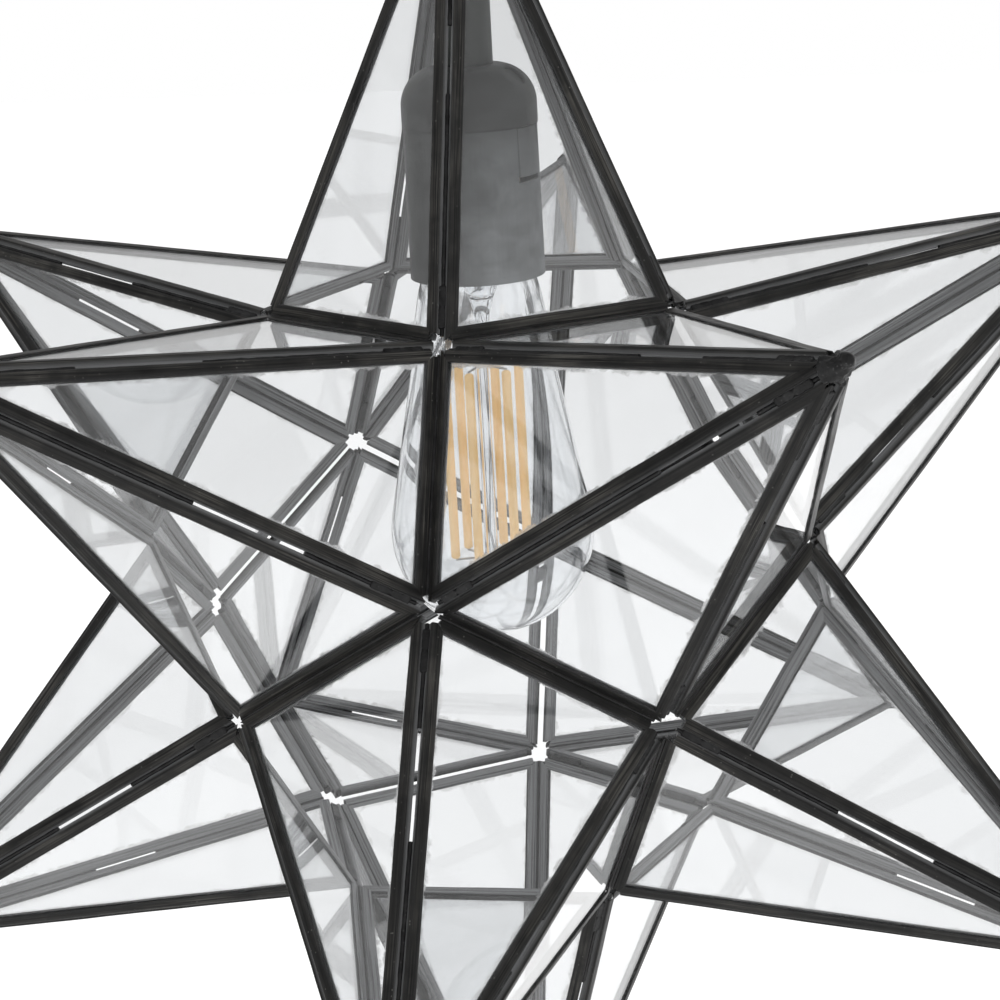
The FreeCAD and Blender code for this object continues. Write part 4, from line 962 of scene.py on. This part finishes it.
def seams():
    """Every ridge and valley: its ends, its outward direction, its kind and its body."""
    found = []
    for name, tip in TIPS.items():
        axis = tip.normalized()
        cut = TOP_CUT + CAP_ROOM if name == "top_point" else TIP_CUT
        for spot in foot_corners(tip):
            along = (tip - spot).normalized()
            outward = spot - axis * spot.dot(axis)
            outward = (outward - along * outward.dot(along)).normalized()
            end = spot + (tip - spot) * (1.0 - cut / (TIP_LEVEL - FOOT_LEVEL))
            found.append((spot, end, outward, "ridge", body_for(name)))
    door = TIPS["service_point"]
    for number, one in enumerate(CORNERS):
        for two in CORNERS[number + 1:]:
            neighbours = abs((one - two).length - EDGE) < SAME_PLACE
            if neighbours and not (ridge_from(one, door) and ridge_from(two, door)):
                found.append((one, two, (one + two).normalized(), "valley", "star"))
    return found


def bead_tree():
    """A bead of solder along each edge of a mesh, round and lumpy."""
    tree = bpy.data.node_groups.new("solder_bead", "GeometryNodeTree")
    for socket, kind, direction in (("Geometry", "Geometry", "INPUT"), ("Bead Radius", "Float", "INPUT"),
                                    ("Lump", "Float", "INPUT"), ("Step", "Float", "INPUT"),
                                    ("Seed", "Float", "INPUT"), ("Finish", "Material", "INPUT"),
                                    ("Geometry", "Geometry", "OUTPUT")):
        tree.interface.new_socket(socket, in_out=direction, socket_type=f"NodeSocket{kind}")
    make, link = tree.nodes.new, tree.links.new
    taken, given = make("NodeGroupInput"), make("NodeGroupOutput")

    line = make("GeometryNodeMeshToCurve")
    even = make("GeometryNodeResampleCurve")
    even.mode = "LENGTH"
    ring = make("GeometryNodeCurvePrimitiveCircle")
    bead = make("GeometryNodeCurveToMesh")
    set_inputs(ring, Resolution=8)
    set_inputs(bead, Fill_Caps=True)
    link(taken.outputs["Geometry"], line.inputs["Mesh"])
    link(line.outputs["Curve"], even.inputs["Curve"])
    link(taken.outputs["Step"], even.inputs["Length"])
    link(taken.outputs["Bead Radius"], ring.inputs["Radius"])
    link(even.outputs["Curve"], bead.inputs["Curve"])
    link(ring.outputs["Curve"], bead.inputs["Profile Curve"])

    lumps = make("ShaderNodeTexNoise")
    lumps.noise_dimensions = "4D"
    set_inputs(lumps, Scale=420.0, Detail=3.0)
    centred = make("ShaderNodeMath")
    centred.operation = "SUBTRACT"
    centred.inputs[1].default_value = 0.45
    sized = make("ShaderNodeMath")
    sized.operation = "MULTIPLY"
    normal = make("GeometryNodeInputNormal")
    push = make("ShaderNodeVectorMath")
    push.operation = "SCALE"
    moved = make("GeometryNodeSetPosition")
    link(taken.outputs["Seed"], lumps.inputs["W"])
    link(lumps.outputs["Fac"], centred.inputs[0])
    link(centred.outputs["Value"], sized.inputs[0])
    link(taken.outputs["Lump"], sized.inputs[1])
    link(normal.outputs["Normal"], push.inputs[0])
    link(sized.outputs["Value"], push.inputs["Scale"])
    link(bead.outputs["Mesh"], moved.inputs["Geometry"])
    link(push.outputs["Vector"], moved.inputs["Offset"])

    real = make("GeometryNodeRealizeInstances")
    painted = make("GeometryNodeSetMaterial")
    link(moved.outputs["Geometry"], real.inputs["Geometry"])
    link(real.outputs["Geometry"], painted.inputs["Geometry"])
    link(taken.outputs["Finish"], painted.inputs["Material"])
    link(painted.outputs["Geometry"], given.inputs["Geometry"])
    return tree


def grown_piece(name, source, tree, slot, body, values):
    """The mesh that a Geometry Nodes tree grows on a source mesh, as a plain piece."""
    carrier = bpy.data.objects.new(f"{name}_source", source)
    SCENE.collection.objects.link(carrier)
    modifier = carrier.modifiers.new("grow", "NODES")
    modifier.node_group = tree
    values = dict(values, Finish=FINISHES[slot])
    for item in tree.interface.items_tree:
        if item.in_out == "INPUT" and item.name in values:
            modifier[item.identifier] = values[item.name]
    evaluated = carrier.evaluated_get(bpy.context.evaluated_depsgraph_get())
    data = bpy.data.meshes.new_from_object(evaluated)
    bpy.data.objects.remove(carrier)
    bpy.data.meshes.remove(source)
    mesh = bmesh.new()
    mesh.from_mesh(data)
    bpy.data.meshes.remove(data)
    bmesh.ops.recalc_face_normals(mesh, faces=mesh.faces)
    return finish_piece(name, mesh, slot, body, crease=60.0)


SLIT_CHANCE = {"ridge": 0.75, "valley": 0.3}
TIP_ROOM = 2 * MM
SHORTEST_BEAD = 4 * MM


def build_seam_fill():
    """Solder along the bottom of each groove, with a slit left open here and there."""
    rng = random.Random(11)
    tree = bead_tree()
    lines = {"star": bmesh.new(), "service_point": bmesh.new()}
    for start, end, outward, kind, body in seams():
        along = end - start
        shift = STAR_CENTRE + outward * (RIDGE_GROOVE if kind == "ridge" else VALLEY_GROOVE)
        length = along.length
        first = hole_at(start) * rng.uniform(0.85, 0.95)
        last = length - (TIP_ROOM if kind == "ridge" else hole_at(end) * rng.uniform(0.85, 0.95))
        runs = [(first, last)]
        if rng.random() < SLIT_CHANCE[kind]:
            middle = length * rng.uniform(0.25, 0.75)
            width = rng.uniform(0.10, 0.26) * length
            runs = [(first, middle - width / 2), (middle + width / 2, last)]
        mesh = lines[body]
        for low, high in runs:
            if high - low < SHORTEST_BEAD:
                continue
            one = mesh.verts.new(start + along * (low / length) + shift)
            two = mesh.verts.new(start + along * (high / length) + shift)
            mesh.edges.new((one, two))
    for body, mesh in lines.items():
        source = bpy.data.meshes.new(f"{body}_seam_lines")
        mesh.to_mesh(source)
        mesh.free()
        sizes = {"Bead Radius": BEAD_RADIUS, "Lump": 0.7 * MM, "Step": 2.2 * MM, "Seed": 3.0}
        grown_piece(f"{body}_seam_fill", source, tree, "solder", body, sizes)


TIP_REACH = 9 * MM
TIP_SPREAD = 8 * MM
TIP_SHRINK = 0.10
TIP_SWELL = 0.14
TIP_SINK = 0.3 * MM


def dent_tip(vertex, tips):
    """Dent a tip's plain cone where the came ends are crimped under the solder."""
    for tip in tips:
        axis = tip.normalized()
        place = vertex.co - STAR_CENTRE
        back = tip.length - place.dot(axis)
        side = place - axis * place.dot(axis)
        if back > TIP_REACH or side.length > TIP_SPREAD:
            continue
        dent = 0.55 * noise.noise(vertex.co * 230.0) + 0.26 * noise.noise(vertex.co * 640.0)
        vertex.co += side * (min(TIP_SWELL, dent) - TIP_SHRINK) - axis * TIP_SINK


SEAM_CELL = 1.4 * MM
TIP_CELL = 0.7 * MM
SEAM_SINK = 0.5 * MM
BROAD_LUMP = 0.00022
FINE_LUMP = 0.00008
SOFTENING_ROUNDS = 4


def split_long_edges(mesh, longest):
    """Split a mesh's edges, up to four times over, until none is longer than this."""
    bmesh.ops.triangulate(mesh, faces=mesh.faces)
    for _ in range(4):
        long_edges = [edge for edge in mesh.edges if edge.calc_length() > longest]
        if not long_edges:
            break
        bmesh.ops.subdivide_edges(mesh, edges=long_edges, cuts=1)
        bmesh.ops.triangulate(mesh, faces=[face for face in mesh.faces if len(face.verts) > 3])


def build_solder():
    """Lumpy solder in place of each straight run, and over the crimped tips."""
    tips = list(TIPS.values())
    for node in ("ridge_solder", "valley_solder", "service_point_solder", "tip_solder"):
        on_tips = node == "tip_solder"
        mesh = merged_copy(node)
        split_long_edges(mesh, TIP_CELL if on_tips else SEAM_CELL)
        for _ in range(SOFTENING_ROUNDS):
            bmesh.ops.smooth_vert(mesh, verts=mesh.verts, factor=0.5, use_axis_x=True, use_axis_y=True,
                                  use_axis_z=True)
        mesh.normal_update()
        for vertex in mesh.verts:
            broad = noise.noise(vertex.co * 150.0) * BROAD_LUMP
            fine = noise.noise(vertex.co * 700.0) * FINE_LUMP
            vertex.co += vertex.normal * (broad + fine)
            if not on_tips:
                vertex.co -= (vertex.co - STAR_CENTRE).normalized() * SEAM_SINK
            dent_tip(vertex, tips)
        finish_piece(f"{node}_beads", mesh, "solder", body_for(node), [node])


# ------------------------------------------------------------------ studio

WORLD_LIGHT = 0.95
FLOOR_LEVEL = -0.78
FLOOR_GLOW = 0.27

# In reflections the world is dim overhead, and brighter low down and to the right.
DIM_OVERHEAD = 0.4
BRIGHT_BELOW = 0.50


def add_lamp(name, place, size, power):
    """A square soft lamp that lights the star but isn't mirrored in its panes."""
    data = bpy.data.lights.new(name, "AREA")
    data.shape = "SQUARE"
    data.size = size
    data.energy = power
    lamp = bpy.data.objects.new(name, data)
    SCENE.collection.objects.link(lamp)
    lamp.visible_glossy = False
    lamp.visible_transmission = False
    place = Vector(place)
    turn = (STAR_CENTRE - place).to_track_quat("-Z", "Y").to_matrix().to_4x4()
    lamp.matrix_world = Matrix.Translation(place) @ turn


def seen_directly(tree):
    """1 for the rays that show a thing as background: camera, glossy and transmission."""
    path = add(tree, "LightPath")
    total = math_node(tree, "ADD", path.outputs["Is Camera Ray"], path.outputs["Is Glossy Ray"])
    return math_node(tree, "ADD", total, path.outputs["Is Transmission Ray"], clamp=True)


def build_world():
    """A white world, with a darker top for reflections alone."""
    world = bpy.data.worlds.new("white_studio")
    world.use_nodes = True
    SCENE.world = world
    tree = world.node_tree
    background = next(node for node in tree.nodes if node.type == "BACKGROUND")
    background.inputs["Color"].default_value = (1, 1, 1, 1)
    strength = math_node(tree, "MULTIPLY_ADD", seen_directly(tree), 1.0 - WORLD_LIGHT, WORLD_LIGHT)

    direction = add(tree, "SeparateXYZ")
    tree.links.new(add(tree, "TexCoord").outputs["Generated"], direction.inputs["Vector"])
    below = times(tree, math_node(tree, "SUBTRACT", BRIGHT_BELOW, direction.outputs["Z"]), 14.0, clamp=True)
    right = math_node(tree, "MULTIPLY_ADD", direction.outputs["X"], 1.2, 0.5, clamp=True)
    bright = times(tree, times(tree, below, right), 1.0 - DIM_OVERHEAD)
    mirrored = math_node(tree, "ADD", bright, DIM_OVERHEAD)

    # Is Glossy Ray is also 1 behind glass, where Is Transmission Ray is 1 too.
    path = add(tree, "LightPath")
    reflected = math_node(tree, "SUBTRACT", path.outputs["Is Glossy Ray"],
                          path.outputs["Is Transmission Ray"], clamp=True)
    chosen = add(tree, "Mix", data_type="FLOAT")
    tree.links.new(reflected, chosen.inputs["Factor"])
    tree.links.new(strength, chosen.inputs["A"])
    tree.links.new(mirrored, chosen.inputs["B"])
    tree.links.new(chosen.outputs["Result"], background.inputs["Strength"])


def build_floor():
    """A plain pale floor that shows as white and keeps the star's shadow."""
    data = bpy.data.meshes.new("floor")
    mesh = bmesh.new()
    bmesh.ops.create_grid(mesh, x_segments=4, y_segments=4, size=6.0)
    bmesh.ops.translate(mesh, verts=mesh.verts, vec=(0, 0, FLOOR_LEVEL))
    mesh.to_mesh(data)
    mesh.free()
    floor = bpy.data.objects.new("floor", data)
    SCENE.collection.objects.link(floor)
    material, tree, shader = new_material("floor_pale")
    mottle = place_group(tree, MOTTLE, object_coordinates(tree), Blotch_Scale=2.0, Grain_Scale=60.0)
    colour = ramp_between(tree, mottle.outputs["Blotch"], [(0.3, (0.86,) * 3), (0.7, (0.88,) * 3)])
    tree.links.new(colour, shader.inputs["Base Color"])
    set_inputs(shader, Roughness=0.8, Specular_IOR_Level=0.1, Emission_Color=(1, 1, 1, 1))
    tree.links.new(times(tree, seen_directly(tree), FLOOR_GLOW), shader.inputs["Emission Strength"])
    data.materials.append(material)


def build_studio():
    """The white world, the pale floor and three soft lamps."""
    build_world()
    build_floor()
    add_lamp("soft_key", (1.0, -1.2, 0.9), size=1.2, power=6.5)
    add_lamp("soft_fill", (-1.4, -0.7, 0.5), size=1.4, power=2.0)
    add_lamp("soft_back", (0.3, 1.5, 0.9), size=1.4, power=4.0)


# The photograph's camera, fitted to the star's corners seen in it.
CAMERA_LENS = 99.25
CAMERA_FROM_STAR = Vector((0.1507814, -0.8183945, 0.2459611))
CAMERA_RIGHT = Vector((0.98510, 0.16383, -0.05225))
CAMERA_DOWN = Vector((-0.00716, -0.26451, -0.96436))
CAMERA_FORWARD = Vector((-0.17182, 0.95036, -0.25940))


def build_camera():
    """The camera at the photograph's viewing angle."""
    data = bpy.data.cameras.new("photo_camera")
    data.sensor_width = 36.0
    data.lens = CAMERA_LENS
    data.clip_start = 0.01
    data.clip_end = 50.0
    camera = bpy.data.objects.new("photo_camera", data)
    SCENE.collection.objects.link(camera)
    turn = Matrix((CAMERA_RIGHT, -CAMERA_DOWN, -CAMERA_FORWARD)).transposed().to_4x4()
    camera.matrix_world = Matrix.Translation(STAR_CENTRE + CAMERA_FROM_STAR) @ turn
    SCENE.camera = camera


def set_rendering():
    """The plain view, and enough bounces for light to pass many panes."""
    SCENE.view_settings.view_transform = "Standard"
    SCENE.cycles.max_bounces = 40
    SCENE.cycles.transmission_bounces = 36
    SCENE.cycles.transparent_max_bounces = 40
    SCENE.cycles.glossy_bounces = 6
    SCENE.cycles.diffuse_bounces = 3
    SCENE.cycles.caustics_reflective = False
    SCENE.cycles.caustics_refractive = False


build_camera()
set_rendering()
dress_nodes()
build_cames()
build_panes()
build_bulb()
build_softened()
build_solder()
build_seam_fill()
build_studio()
